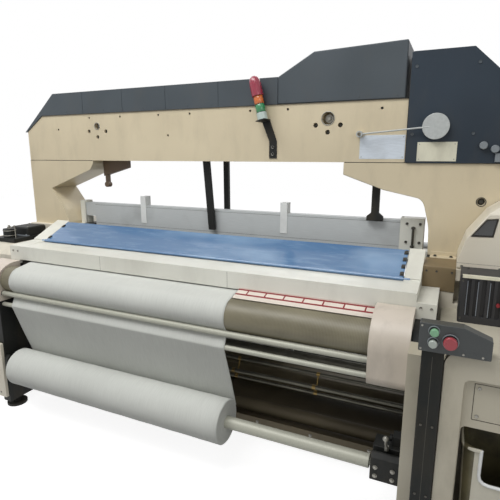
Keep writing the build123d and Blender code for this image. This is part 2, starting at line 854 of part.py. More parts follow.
def heald_frame(index):
    near_y = heald_frame_y + index * heald_frame_pitch
    far_y = near_y + heald_frame_thick
    middle_x = (stay_left_x + stay_right_x) / 2
    heald_top_z = rail_top_z - rail_height + heald_root
    heald_foot_z = bottom_rail_z + bottom_rail_height - heald_root
    heald_count = int((stay_right_x - stay_left_x - 2 * stay_width) / heald_pitch)
    with BuildPart() as frame:
        with BuildSketch(front_plane(far_y)):
            with Locations((middle_x, rail_top_z - rail_height / 2)):
                Rectangle(stay_right_x - stay_left_x, rail_height)
            with Locations(((top_ear_x + stay_left_x) / 2, rail_top_z - ear_height / 2)):
                Rectangle(stay_left_x - top_ear_x, ear_height)
            with Locations((middle_x, bottom_rail_z + bottom_rail_height / 2)):
                Rectangle(stay_right_x - stay_left_x, bottom_rail_height)
            for stay_x in (stay_left_x + stay_width / 2, stay_right_x - stay_width / 2):
                with Locations((stay_x, (rail_top_z + bottom_rail_z) / 2)):
                    Rectangle(stay_width, rail_top_z - bottom_rail_z - 2)
        extrude(amount=heald_frame_thick)
        with BuildSketch(front_plane(near_y)):
            for tab_x in tab_places:
                with Locations((tab_x, rail_top_z + tab_rise - tab_height / 2)):
                    Rectangle(tab_width, tab_height)
        extrude(amount=tab_thick)
        with BuildSketch(front_plane((near_y + far_y + heald_thick) / 2)):
            with Locations((middle_x, (heald_top_z + heald_foot_z) / 2)):
                with GridLocations(heald_pitch, 0, heald_count, 1):
                    Rectangle(heald_width, heald_top_z - heald_foot_z)
        extrude(amount=heald_thick)
    keep(frame, f"heald_frame_{index + 1}")


for frame_index in range(heald_frame_count):
    heald_frame(frame_index)

# Grooved guides at both ends of the heald rails: cream end box on the right, block on the left
guide_front_y = heald_frame_y - 14
guide_back_y = heald_frame_y + heald_frame_count * heald_frame_pitch + 10
groove_depth = 14
end_box_low_z = frame_top_z - 60
end_box_top_z = rail_top_z + 14
end_box_left_x = stay_right_x - groove_depth
end_box_right_x = right_inner_x - 30
left_block_x = top_ear_x - 14
with BuildPart() as frame_guides:
    with BuildSketch(Plane.XY.offset(end_box_low_z)):
        with Locations(((end_box_left_x + end_box_right_x) / 2, (guide_front_y + guide_back_y) / 2)):
            Rectangle(end_box_right_x - end_box_left_x, guide_back_y - guide_front_y)
    extrude(amount=end_box_top_z - end_box_low_z)
    with BuildSketch(Plane.XY.offset(end_box_low_z)):
        with Locations(((end_box_left_x + right_inner_x) / 2, (guide_front_y + guide_back_y) / 2)):
            Rectangle(right_inner_x - end_box_left_x, guide_back_y - guide_front_y)
    extrude(amount=frame_top_z - end_box_low_z - 4)
    with BuildSketch(Plane.XY.offset(frame_top_z)):
        with Locations((left_block_x + 22, (guide_front_y + guide_back_y) / 2)):
            Rectangle(44, guide_back_y - guide_front_y)
    extrude(amount=end_box_top_z - frame_top_z)
    fillet(frame_guides.edges().filter_by(Axis.X).group_by(Axis.Z)[-1], 4)
    with BuildSketch(Plane.XY.offset(end_box_low_z)):
        for index in range(heald_frame_count):
            groove_y = heald_frame_y + index * heald_frame_pitch + heald_frame_thick / 2
            with Locations((stay_right_x - groove_depth / 2 + seat_gap / 2, groove_y)):
                Rectangle(groove_depth + seat_gap, heald_frame_thick + 2 * slide_gap)
            with Locations((top_ear_x + 20 - seat_gap / 2, groove_y)):
                Rectangle(40 + seat_gap, heald_frame_thick + 2 * slide_gap)
    extrude(amount=end_box_top_z - end_box_low_z, mode=Mode.SUBTRACT)
keep(frame_guides, "heald_frame_guides")

# Reed: a comb of dents between two baulks
reed_left_x = left_inner_x + 50
reed_right_x = right_inner_x - 60
reed_front_y = sley_pivot_y
dent_count = 90
baulk_height = 14
with BuildPart() as reed:
    with BuildSketch(front_plane(reed_front_y + reed_thick)):
        with Locations(((reed_left_x + reed_right_x) / 2, reed_bottom_z + reed_height / 2)):
            Rectangle(reed_right_x - reed_left_x, reed_height)
    extrude(amount=reed_thick)
    dent_pitch = (reed_right_x - reed_left_x - 20) / dent_count
    with BuildSketch(front_plane(reed_front_y + reed_thick)):
        with Locations(((reed_left_x + reed_right_x) / 2, reed_bottom_z + reed_height / 2)):
            with GridLocations(dent_pitch, 0, dent_count, 1):
                Rectangle(dent_pitch - 8, reed_height - 2 * baulk_height)
    extrude(amount=reed_thick, mode=Mode.SUBTRACT)
keep(reed, "reed")

# Sley: channel beam on swords clamped round the rocking shaft
sword_count = 7
sword_thick = 24
sley_beam_height = 46
sley_beam_depth = 70
sley_low_z = reed_bottom_z - sley_beam_height
with BuildPart() as sley:
    with BuildSketch(side_plane(reed_left_x)):
        with Locations((reed_front_y + reed_thick / 2 + 8, reed_bottom_z - sley_beam_height / 2)):
            Rectangle(sley_beam_depth, sley_beam_height)
            with Locations((0, -8)):
                Rectangle(sley_beam_depth - 16, sley_beam_height - 14, mode=Mode.SUBTRACT)
    extrude(amount=reed_right_x - reed_left_x)
    sword_pitch = (reed_right_x - reed_left_x - 160) / (sword_count - 1)
    for sword in range(sword_count):
        sword_x = reed_left_x + 80 + sword * sword_pitch - sword_thick / 2
        with BuildSketch(side_plane(sword_x)):
            with BuildLine():
                Polyline(
                    (sley_pivot_y - 50, sley_pivot_z + 10),
                    (reed_front_y - 18, sley_low_z + 20),
                    (reed_front_y + 40, sley_low_z + 20),
                    (sley_pivot_y + 50, sley_pivot_z + 10),
                    close=True,
                )
            make_face()
            with Locations((sley_pivot_y, sley_pivot_z)):
                Circle(rocking_shaft_r + 24)
            with Locations((sley_pivot_y, sley_pivot_z)):
                Circle(rocking_shaft_r + run_gap, mode=Mode.SUBTRACT)
        extrude(amount=sword_thick)
    with BuildSketch(side_plane(reed_left_x)):
        with Locations((reed_front_y + reed_thick + 8, reed_bottom_z + 9)):
            Rectangle(14, 20)
    extrude(amount=reed_right_x - reed_left_x)
keep(sley, "sley_beam")

with BuildPart() as rocking_shaft:
    with BuildSketch(side_plane(left_outer_x)):
        with Locations((sley_pivot_y, sley_pivot_z)):
            Circle(rocking_shaft_r)
    extrude(amount=right_outer_x - left_outer_x)
keep(rocking_shaft, "rocking_shaft")

# Breast cover: folded sheet with moulded cheeks, resting on the noses of both side frames
breast_left_x = left_outer_x
breast_right_x = right_inner_x
back_fold = 30
cheek_deep = 60
cheek_lip = 4
end_shelf_drop = 40
guard_pin_y = rim_back_y + 12
guard_pin_z = rim_z + 8
cheeks = [(breast_left_x, left_cheek_width), (breast_right_x - right_cheek_width, right_cheek_width)]
with BuildPart() as breast_cover:
    with BuildSketch(side_plane(breast_left_x)):
        with BuildLine():
            Polyline(
                (rim_front_y, face_bottom_z),
                (rim_front_y, rim_z),
                (rim_back_y, rim_z),
                (rim_back_y, rim_z - back_fold),
                (rim_back_y - sheet_thick, rim_z - back_fold),
                (rim_back_y - sheet_thick, rim_z - sheet_thick),
                (rim_front_y + sheet_thick, rim_z - sheet_thick),
                (rim_front_y + sheet_thick, face_bottom_z),
                close=True,
            )
        make_face()
    extrude(amount=breast_right_x - breast_left_x)
    for cheek_x, cheek_width in cheeks:
        with BuildSketch(side_plane(cheek_x)):
            with BuildLine():
                Polyline(
                    (rim_front_y, rim_z - cheek_deep),
                    (rim_front_y, rim_z),
                    (rim_back_y, rim_z + cheek_lip),
                    (cheek_back_y, cheek_top_z + cheek_lip),
                    (cheek_back_y, rim_z - cheek_deep),
                    close=True,
                )
            make_face()
        extrude(amount=cheek_width)
    with BuildSketch(side_plane(breast_left_x)):
        with BuildLine():
            Polyline(
                (rim_front_y, frame_nose_z),
                (rim_front_y, rim_z - sheet_thick),
                (cheek_back_y, rim_z - sheet_thick),
                (cheek_back_y, frame_nose_z),
                close=True,
            )
        make_face()
    extrude(amount=frame_thick)
    with BuildSketch(side_plane(right_inner_x)):
        with BuildLine():
            Polyline(
                (rim_front_y, frame_nose_z),
                (rim_front_y, rim_z - end_shelf_drop),
                (right_case_front_y - 6, rim_z - end_shelf_drop),
                (right_case_front_y - 6, frame_nose_z),
                close=True,
            )
        make_face()
    extrude(amount=frame_thick)
    with BuildSketch(side_plane(breast_left_x)):
        with Locations((guard_pin_y, guard_pin_z)):
            Circle(guard_pin_r + run_gap)
    extrude(amount=breast_right_x - breast_left_x, mode=Mode.SUBTRACT)
keep(breast_cover, "breast_cover")

# Blue splash guard, hinged on pins in the cheeks
guard_end_gap = 4
guard_fold = 22
guard_left_x = breast_left_x + left_cheek_width + guard_end_gap
guard_right_x = breast_right_x - right_cheek_width - guard_end_gap
guard_tip = guard_length - 12
guard_plane = Plane(
    origin=(guard_left_x, guard_pin_y, guard_pin_z),
    x_dir=(0, cos(radians(guard_slope)), sin(radians(guard_slope))),
    z_dir=(1, 0, 0),
)
with BuildPart() as guard:
    with BuildSketch(guard_plane):
        with BuildLine():
            Polyline(
                (4, -guard_thick / 2),
                (4, guard_thick / 2),
                (guard_tip, guard_thick / 2),
                (guard_tip, -guard_fold),
                (guard_tip - guard_thick, -guard_fold),
                (guard_tip - guard_thick, -guard_thick / 2),
                close=True,
            )
        make_face()
        Circle(guard_pin_r + 3)
    extrude(amount=guard_right_x - guard_left_x)
    with BuildSketch(side_plane(guard_left_x - 30)):
        with Locations((guard_pin_y, guard_pin_z)):
            Circle(guard_pin_r)
    extrude(amount=guard_right_x - guard_left_x + 60)
keep(guard, "splash_guard")

# Take-up roller with its journals
roller_gap = 10
with BuildPart() as take_up:
    with BuildSketch(side_plane(left_inner_x + roller_gap)):
        with Locations((take_up_y, take_up_z)):
            Circle(take_up_r)
    extrude(amount=opening_width - 2 * roller_gap)
    fillet(take_up.edges().filter_by(GeomType.CIRCLE), 5)
    with BuildSketch(side_plane(left_outer_x)):
        with Locations((take_up_y, take_up_z)):
            Circle(journal_r)
    extrude(amount=right_outer_x - left_outer_x)
keep(take_up, "take_up_roller")

with BuildPart() as press:
    with BuildSketch(side_plane(left_inner_x + roller_gap)):
        with Locations((press_y, press_z)):
            Circle(press_r)
    extrude(amount=opening_width - 2 * roller_gap)
    with BuildSketch(side_plane(left_outer_x + 20)):
        with Locations((press_y, press_z)):
            Circle(pin_r)
    extrude(amount=right_outer_x - left_outer_x - 40)
keep(press, "press_roller")

with BuildPart() as guide_bar:
    with BuildSketch(side_plane(left_inner_x)):
        with Locations((guide_y, guide_z)):
            Circle(guide_r)
    extrude(amount=opening_width)
keep(guide_bar, "guide_bar")

# End guards: rolled sheet over the roller ends, the left one wrapped round the frame's nose
end_guard_front_y = frame_front_y - guard_over_frame
end_guard_back_y = rim_front_y - 4
end_guard_low_z = 672
end_guard_width = 158
end_guard_skirt = 50
left_guard_overhang = 80
left_guard_nose_r = frame_nose_r + guard_over_frame
left_guard_top_z = frame_nose_z + guard_over_frame
right_guard_top_z = frame_nose_z + 50
right_guard_nose_r = left_guard_nose_r
right_guard_x = right_inner_x - end_guard_width
guard_window_wide = 110
guard_window_high = 190
lug_height = 56


def guard_outline(top_z, nose_r, folded_under):
    front_low = (end_guard_front_y, end_guard_low_z + end_guard_skirt)
    roof = Line((end_guard_back_y, top_z), (end_guard_front_y + nose_r, top_z))
    nose = RadiusArc(roof @ 1, (end_guard_front_y, top_z - nose_r), -nose_r)
    Line(nose @ 1, front_low)
    if folded_under:
        toe = (end_guard_front_y + end_guard_skirt, end_guard_low_z)
        RadiusArc(front_low, toe, -end_guard_skirt)
        Line(toe, (end_guard_back_y - end_guard_skirt, end_guard_low_z))


def end_guard(start_x, wide, plate_x, top_z, nose_r, folded_under):
    with BuildSketch(side_plane(start_x)) as skin:
        with BuildLine():
            guard_outline(top_z, nose_r, folded_under)
        trace(line_width=guard_wall)
    extrude(skin.sketch, amount=wide)
    with BuildSketch(side_plane(plate_x)) as plate:
        with BuildLine() as rim:
            guard_outline(top_z, nose_r, folded_under)
            Polyline(rim.line @ 1, (end_guard_back_y, end_guard_low_z + end_guard_skirt), rim.line @ 0)
        make_face()
        if folded_under:
            with Locations(((end_guard_front_y + end_guard_back_y) / 2, (top_z + end_guard_low_z) / 2)):
                RectangleRounded(guard_window_wide, guard_window_high, 30, mode=Mode.SUBTRACT)
        with Locations((guide_y, guide_z)):
            Circle(guide_r + seat_gap, mode=Mode.SUBTRACT)
        with Locations((press_y, press_z)):
            Circle(pin_r + 5, mode=Mode.SUBTRACT)
        with Locations((take_up_y, take_up_z)):
            Circle(journal_r + 6, mode=Mode.SUBTRACT)
    extrude(plate.sketch, amount=guard_wall)


with BuildPart() as end_guards:
    end_guard(
        right_guard_x,
        end_guard_width,
        right_inner_x - guard_wall,
        right_guard_top_z,
        right_guard_nose_r,
        True,
    )
    left_guard_x = left_outer_x - left_guard_overhang
    left_guard_width = left_guard_overhang + frame_thick + guard_wall
    end_guard(left_guard_x, left_guard_width, left_inner_x, left_guard_top_z, left_guard_nose_r, False)
    with BuildSketch(side_plane(left_outer_x + 12)):
        lug_middle_z = end_guard_low_z + end_guard_skirt + lug_height / 2
        with Locations(((end_guard_front_y + frame_front_y) / 2, lug_middle_z)):
            Rectangle(guard_over_frame, lug_height)
    extrude(amount=frame_thick - 24)
keep(end_guards, "roller_end_guards")

# Cloth from the fell over the breast beam, the rollers and down to the cloth roll
web_offset = sheet_gap + cloth_thick / 2
cloth_stations = [
    (fell_y, warp_line_z, 0, 1),
    (breast_front_y + breast_nose_r, breast_top_z - breast_nose_r, breast_nose_r + web_offset, 1),
    (take_up_y, take_up_z, take_up_r + web_offset, 1),
    (press_y, press_z, press_r + web_offset, -1),
    (guide_y, guide_z, guide_r + web_offset, 1),
    (roll_y, roll_z, roll_r + web_offset, -1),
]
with BuildPart() as cloth:
    with BuildSketch(side_plane(cloth_left_x)):
        with BuildLine():
            web_path(cloth_stations)
        trace(line_width=cloth_thick)
    extrude(amount=cloth_width)
keep(cloth, "cloth_sheet")

# Cloth roll on its core tube, in black cradles
core_end_gap = 34
cradle_reach = 130
cradle_toe = 46
cradle_heel = 110
cradle_low = 52
cradle_top = 70
core_left_x = left_inner_x + core_end_gap
core_right_x = right_inner_x - cradle_reach
with BuildPart() as cloth_roll:
    with BuildSketch(side_plane(cloth_left_x)):
        with Locations((roll_y, roll_z)):
            Circle(roll_r)
            Circle(core_r + run_gap, mode=Mode.SUBTRACT)
    extrude(amount=cloth_width)
    fillet(cloth_roll.edges().filter_by(GeomType.CIRCLE).group_by(SortBy.RADIUS)[-1], 8)
keep(cloth_roll, "cloth_roll")

spindle_r = 17
with BuildPart() as core:
    with BuildSketch(side_plane(core_left_x)):
        with Locations((roll_y, roll_z)):
            Circle(core_r)
    extrude(amount=core_right_x - core_left_x)
    with BuildSketch(side_plane(left_inner_x + 6)):
        with Locations((roll_y, roll_z)):
            Circle(spindle_r)
    extrude(amount=opening_width - 46)
keep(core, "cloth_roll_core")

with BuildPart() as cradles:
    for cradle_x, cradle_wide in ((left_inner_x, core_end_gap - 6), (core_right_x + 8, cradle_reach - 8)):
        with BuildSketch(side_plane(cradle_x)):
            with BuildLine():
                Polyline(
                    (roll_y - cradle_toe, roll_z + cradle_top - 20),
                    (roll_y - cradle_toe, roll_z - cradle_low),
                    (roll_y + cradle_heel, roll_z - cradle_low),
                    (roll_y + cradle_heel, roll_z + cradle_top),
                    (roll_y - cradle_toe + 20, roll_z + cradle_top),
                    close=True,
                )
            make_face()
            with Locations((roll_y, roll_z)):
                Circle(spindle_r + run_gap, mode=Mode.SUBTRACT)
            with Locations((roll_y, roll_z + cradle_top / 2)):
                Rectangle(2 * (spindle_r + run_gap), cradle_top, mode=Mode.SUBTRACT)
        extrude(amount=cradle_wide)
keep(cradles, "cloth_roll_brackets")

# Warp beam, its flanges and the wound yarn
beam_gap = 8
with BuildPart() as warp_beam:
    with BuildSketch(side_plane(left_inner_x + beam_gap)):
        with Locations((warp_beam_y, warp_beam_z)):
            Circle(warp_barrel_r)
    extrude(amount=opening_width - 2 * beam_gap)
    with BuildSketch(side_plane(left_outer_x)):
        with Locations((warp_beam_y, warp_beam_z)):
            Circle(warp_journal_r)
    extrude(amount=right_outer_x - left_outer_x)
keep(warp_beam, "warp_beam")

flange_hub_r = warp_barrel_r + 40
rib_count = 8
with BuildPart() as flanges:
    for flange_x, outward in ((cloth_left_x - 4, -1), (cloth_right_x + 4, 1)):
        with BuildSketch(side_plane(flange_x)):
            with Locations((warp_beam_y, warp_beam_z)):
                Circle(warp_flange_r)
                Circle(warp_barrel_r + run_gap, mode=Mode.SUBTRACT)
        extrude(amount=outward * warp_flange_thick)
        with BuildSketch(side_plane(flange_x + outward * warp_flange_thick)):
            with Locations((warp_beam_y, warp_beam_z)):
                Circle(warp_flange_r)
                Circle(warp_flange_r - 18, mode=Mode.SUBTRACT)
                Circle(flange_hub_r)
                with PolarLocations((warp_flange_r + flange_hub_r) / 2 - 12, rib_count):
                    Rectangle(warp_flange_r - flange_hub_r, 14)
                Circle(warp_barrel_r + run_gap, mode=Mode.SUBTRACT)
        extrude(amount=outward * 16)
keep(flanges, "warp_beam_flanges")

with BuildPart() as warp_yarn:
    with BuildSketch(side_plane(cloth_left_x - 4 + slide_gap)):
        with Locations((warp_beam_y, warp_beam_z)):
            Circle(warp_yarn_r)
            Circle(warp_barrel_r + run_gap, mode=Mode.SUBTRACT)
    extrude(amount=cloth_width + 8 - 2 * slide_gap)
keep(warp_yarn, "warp_yarn")

with BuildPart() as back_rest:
    with BuildSketch(side_plane(left_inner_x + roller_gap)):
        with Locations((back_rest_y, back_rest_z)):
            Circle(back_rest_r)
    extrude(amount=opening_width - 2 * roller_gap)
    with BuildSketch(side_plane(left_outer_x)):
        with Locations((back_rest_y, back_rest_z)):
            Circle(journal_r)
    extrude(amount=right_outer_x - left_outer_x)
keep(back_rest, "back_rest")

heald_back_y = heald_frame_y + heald_frame_count * heald_frame_pitch - heald_frame_pitch + heald_frame_thick
warp_stations = [
    (heald_back_y + 8, warp_line_z, 0, -1),
    (back_rest_y, back_rest_z, back_rest_r + web_offset, -1),
    (warp_beam_y, warp_beam_z, warp_yarn_r + web_offset, -1),
]
with BuildPart() as warp_sheet:
    with BuildSketch(side_plane(cloth_left_x)):
        with BuildLine():
            web_path(warp_stations)
        trace(line_width=cloth_thick)
    extrude(amount=cloth_width)
keep(warp_sheet, "warp_sheet")

# Let-off gearbox on the left frame
with BuildPart() as let_off:
    with BuildSketch(side_plane(left_outer_x)):
        with Locations((warp_beam_y + 20, warp_beam_z - 20)):
            RectangleRounded(180, 300, 30)
    extrude(amount=-190)
    fillet(let_off.faces().sort_by(Axis.X)[0].edges(), 15)
    with BuildSketch(side_plane(left_outer_x - 190)):
        with Locations((warp_beam_y + 20, warp_beam_z - 100)):
            Circle(55)
    extrude(amount=-110)
keep(let_off, "let_off_gearbox")

# Main shaft and belt drive
pulley_x = right_case_end_x + 14
with BuildPart() as main_shaft:
    with BuildSketch(side_plane(left_outer_x)):
        with Locations((main_shaft_y, main_shaft_z)):
            Circle(main_shaft_r)
    extrude(amount=pulley_x + pulley_width + 10 - left_outer_x)
keep(main_shaft, "main_shaft")


def groove_pulley(y, z, outer_r, bore_r, window_r):
    with BuildSketch(side_plane(pulley_x)) as disc:
        with Locations((y, z)):
            Circle(outer_r)
            Circle(bore_r + run_gap, mode=Mode.SUBTRACT)
            if window_r:
                with PolarLocations((outer_r + bore_r) / 2, 5):
                    Circle(window_r, mode=Mode.SUBTRACT)
    extrude(disc.sketch, amount=pulley_width)
    for groove in range(3):
        with BuildSketch(side_plane(pulley_x + 12 + groove * 14)) as ring:
            with Locations((y, z)):
                Circle(outer_r)
                Circle(outer_r - 7, mode=Mode.SUBTRACT)
        extrude(ring.sketch, amount=8, mode=Mode.SUBTRACT)


with BuildPart() as drive_pulley:
    groove_pulley(main_shaft_y, main_shaft_z, drive_pulley_r, main_shaft_r, 32)
keep(drive_pulley, "drive_pulley")

motor_shaft_r = 19
with BuildPart() as motor_pulley:
    groove_pulley(motor_y, motor_z, motor_pulley_r, motor_shaft_r, 0)
keep(motor_pulley, "motor_pulley")

fin_count = 20
motor_left_x = right_outer_x + 40
motor_right_x = pulley_x - 16
with BuildPart() as motor:
    with BuildSketch(side_plane(motor_left_x)):
        with Locations((motor_y, motor_z)):
            Circle(motor_r)
            with PolarLocations(motor_r + 4, fin_count):
                Rectangle(20, 5)
    extrude(amount=motor_right_x - motor_left_x - 30)
    with BuildSketch(side_plane(motor_right_x - 30)):
        with Locations((motor_y, motor_z)):
            Circle(motor_r + 14)
    extrude(amount=30)
    with BuildSketch(side_plane(motor_right_x)):
        with Locations((motor_y, motor_z)):
            Circle(motor_shaft_r)
    extrude(amount=pulley_x + pulley_width + 4 - motor_right_x)
    with BuildSketch(side_plane(right_inner_x + frame_web)):
        with Locations((motor_y, motor_z - motor_r - 12)):
            Rectangle(170, 20)
    extrude(amount=motor_right_x - right_inner_x - frame_web - 40)
    with BuildSketch(Plane.XY.offset(motor_z)):
        with Locations(((motor_left_x + motor_right_x) / 2, motor_y)):
            Rectangle(130, 110)
    extrude(amount=motor_r + 45)
keep(motor, "drive_motor")

with BuildPart() as belt:
    for grow, belt_mode in ((belt_thick + sheet_gap, Mode.ADD), (sheet_gap, Mode.SUBTRACT)):
        with BuildSketch(side_plane(pulley_x + 8)):
            with Locations((main_shaft_y, main_shaft_z)):
                Circle(drive_pulley_r + grow)
            with Locations((motor_y, motor_z)):
                Circle(motor_pulley_r + grow)
            make_hull()
        extrude(amount=pulley_width - 16, mode=belt_mode)
keep(belt, "drive_belt")

# Right-hand cabinet with a bezel, a shallow panel recess and a bay for the bucket
bay_left_x = bezel_left_x + 70
bay_width = 420
bay_top_z = 680
bay_low_z = 120
panel_top_z = 865
panel_right_x = right_end_x - 60
with BuildPart() as cabinet:
    with BuildSketch(Plane.XY.offset(foot_height)):
        with Locations(((cabinet_left_x + right_end_x) / 2, (cabinet_front_y + cabinet_back_y) / 2)):
            Rectangle(right_end_x - cabinet_left_x, cabinet_back_y - cabinet_front_y)
    extrude(amount=deck_z - foot_height)
    with BuildSketch(Plane.XY.offset(foot_height)):
        with Locations(((cabinet_left_x + right_outer_x) / 2 + 4, cabinet_back_y - 220)):
            Rectangle(frame_thick + 20, 500)
    extrude(amount=deck_z, mode=Mode.SUBTRACT)
    with BuildSketch(front_plane(cabinet_front_y)) as bezel:
        with BuildLine():
            Polyline(
                (bezel_left_x, foot_height),
                (bezel_left_x, bezel_top_z),
                (right_end_x, bezel_top_z),
                (right_end_x, foot_height),
                close=True,
            )
        make_face()
        fillet(bezel.vertices().sort_by(Axis.Y)[-2:], bezel_corner_r)
    extrude(amount=bezel_depth)
    with BuildSketch(front_plane(cabinet_front_y - bezel_depth)):
        with Locations(((bay_left_x - 5 + panel_right_x) / 2, (bay_low_z + panel_top_z) / 2)):
            RectangleRounded(panel_right_x - bay_left_x + 5, panel_top_z - bay_low_z, 24)
    extrude(amount=-25, mode=Mode.SUBTRACT)
    with BuildSketch(front_plane(cabinet_front_y - bezel_depth)):
        with Locations((bay_left_x + bay_width / 2, (bay_low_z + bay_top_z) / 2)):
            RectangleRounded(bay_width, bay_top_z - bay_low_z, 18)
    extrude(amount=-320, mode=Mode.SUBTRACT)
keep(cabinet, "right_cabinet")

bucket_left_x = bay_left_x + 16
bucket_wide = 320
bucket_deep = 230
bucket_high = 480
bucket_taper = 2.2
bucket_edge_r = 34
bucket_front_y = cabinet_front_y - bezel_depth + 30
bucket_wall = 5
bucket_rim = 10
scoop_inset = 57
scoop_low_z = bay_low_z + 345
scoop_top_z = bay_low_z + bucket_high + 50
bucket_spread = 2 * bucket_high * tan(radians(bucket_taper))
bucket_middle = (bucket_left_x + bucket_wide / 2, bucket_front_y + bucket_deep / 2)
with BuildPart() as bucket:
    with BuildSketch(Plane.XY.offset(bay_low_z)):
        with Locations(bucket_middle):
            RectangleRounded(bucket_wide - bucket_spread, bucket_deep - bucket_spread, bucket_edge_r)
    extrude(amount=bucket_high, taper=-bucket_taper)
    with BuildSketch(Plane.XY.offset(bay_low_z + bucket_high - bucket_rim)):
        with Locations(bucket_middle):
            RectangleRounded(bucket_wide + bucket_rim, bucket_deep + bucket_rim, bucket_edge_r + bucket_rim)
    extrude(amount=bucket_rim)
    with BuildSketch(Plane.XY.offset(bay_low_z + bucket_wall)):
        with Locations(bucket_middle):
            RectangleRounded(
                bucket_wide - bucket_spread - 2 * bucket_wall,
                bucket_deep - bucket_spread - 2 * bucket_wall,
                bucket_edge_r - bucket_wall,
            )
    extrude(amount=bucket_high, taper=-bucket_taper, mode=Mode.SUBTRACT)
    with BuildSketch(front_plane(bucket_front_y + bucket_edge_r)):
        with Locations((bucket_left_x + bucket_wide / 2, (scoop_low_z + scoop_top_z) / 2)):
            RectangleRounded(bucket_wide - 2 * scoop_inset, scoop_top_z - scoop_low_z, bucket_edge_r)
    extrude(amount=bucket_edge_r + 2 * bucket_rim, mode=Mode.SUBTRACT)
keep(bucket, "waste_bucket")

# Control column and console with three push buttons
column_front_y = cabinet_front_y - bezel_depth - 12
with BuildPart() as column:
    with BuildSketch(Plane.XY.offset(foot_height)):
        with Locations((column_left_x + column_width / 2, (column_front_y + cabinet_front_y) / 2)):
            Rectangle(column_width, cabinet_front_y - column_front_y)
    extrude(amount=console_bottom_z - foot_height)
    fillet(column.edges().filter_by(Axis.Z).sort_by(Axis.Y)[:2], 5)
keep(column, "control_column")

console_top_z = console_bottom_z + console_height
start_x, start_z = console_left_x + 48, console_bottom_z + 76
jog_x, jog_z = console_left_x + 46, console_bottom_z + 36
stop_x, stop_z = console_left_x + 98, console_bottom_z + 46
stem_r = 9
stem_length = 22
button_r = 14
mushroom_r = 22
button_places = [(start_x, start_z), (jog_x, jog_z), (stop_x, stop_z)]
with BuildPart() as console:
    with BuildSketch(front_plane(console_front_y + console_depth)):
        with BuildLine():
            Polyline(
                (console_left_x, console_bottom_z),
                (console_left_x, console_top_z),
                (console_left_x + 134, console_top_z),
                (console_left_x + console_width, console_top_z - 34),
                (console_left_x + console_width, console_bottom_z),
                close=True,
            )
        make_face()
    extrude(amount=console_depth)
    fillet(console.edges().filter_by(Axis.Y), 4)
    with BuildSketch(front_plane(console_front_y)):
        with Locations(*button_places):
            Circle(stem_r + run_gap)
    extrude(amount=-stem_length - 12, mode=Mode.SUBTRACT)
keep(console, "control_panel")


def push_button(x, z, cap_r, cap_height, name):
    with BuildPart() as button:
        with BuildSketch(front_plane(console_front_y)):
            with Locations((x, z)):
                Circle(stem_r)
        extrude(amount=-stem_length)
        with BuildSketch(front_plane(console_front_y)):
            with Locations((x, z)):
                Circle(stem_r)
        extrude(amount=button_proud - cap_height)
        with BuildSketch(front_plane(console_front_y - button_proud + cap_height)):
            with Locations((x, z)):
                Circle(cap_r)
        extrude(amount=cap_height)
        fillet(button.faces().sort_by(Axis.Y)[0].edges(), cap_height / 3)
    keep(button, name)


push_button(start_x, start_z, button_r, 12, "start_button")
push_button(jog_x, jog_z, button_r, 12, "jog_button")
push_button(stop_x, stop_z, mushroom_r, 14, "stop_button")

# Vented control box on the cabinet deck
vent_left_x = bezel_left_x + 35
vent_width = 438
vent_height = 206
vent_front_y = -430
vent_count = 14
with BuildPart() as vent_box:
    with BuildSketch(Plane.XY.offset(deck_z)):
        with Locations((vent_left_x + vent_width / 2, (vent_front_y + cabinet_back_y) / 2)):
            Rectangle(vent_width, cabinet_back_y - vent_front_y)
    extrude(amount=vent_height)
    fillet(vent_box.edges().filter_by(Axis.Z), 10)
    with BuildSketch(front_plane(vent_front_y)):
        with Locations((vent_left_x + vent_width / 2, deck_z + vent_height / 2 + 8)):
            with GridLocations((vent_width - 40) / vent_count, 0, vent_count, 1):
                Rectangle(16, vent_height - 46)
    extrude(amount=-10, mode=Mode.SUBTRACT)
keep(vent_box, "vented_box")

# Cream housing in front of the right leg
housing_left_x = bezel_left_x + 16
housing_width = 360
housing_height = 295
housing_front_y = right_case_front_y + 6
housing_back_y = -4
housing_slope = [(0, 40), (30, 145), (112, 260), (160, housing_height)]
housing_window = [(47, 153), (103, 232), (147, 237), (134, 156)]
with BuildPart() as housing:
    with BuildSketch(side_plane(housing_left_x)):
        with BuildLine():
            Polyline(
                (housing_front_y, frame_top_z),
                (housing_front_y, frame_top_z + housing_height - 40),
                (housing_front_y + 30, frame_top_z + housing_height),
                (housing_back_y, frame_top_z + housing_height),
                (housing_back_y, frame_top_z),
                close=True,
            )
        make_face()
    extrude(amount=housing_width)
    fillet(housing.edges().filter_by(Axis.X), 12)
    with BuildSketch(front_plane(housing_front_y)):
        with BuildLine():
            Polyline(
                *[(housing_left_x + across, frame_top_z + up) for across, up in housing_slope],
                (housing_left_x, frame_top_z + housing_height),
                close=True,
            )
        make_face()
    extrude(amount=housing_front_y - housing_back_y, mode=Mode.SUBTRACT)
    with BuildSketch(front_plane(housing_front_y)):
        with BuildLine():
            Polyline(*[(housing_left_x + across, frame_top_z + up) for across, up in housing_window], close=True)
        make_face()
    extrude(amount=-10, mode=Mode.SUBTRACT)
keep(housing, "upper_housing")

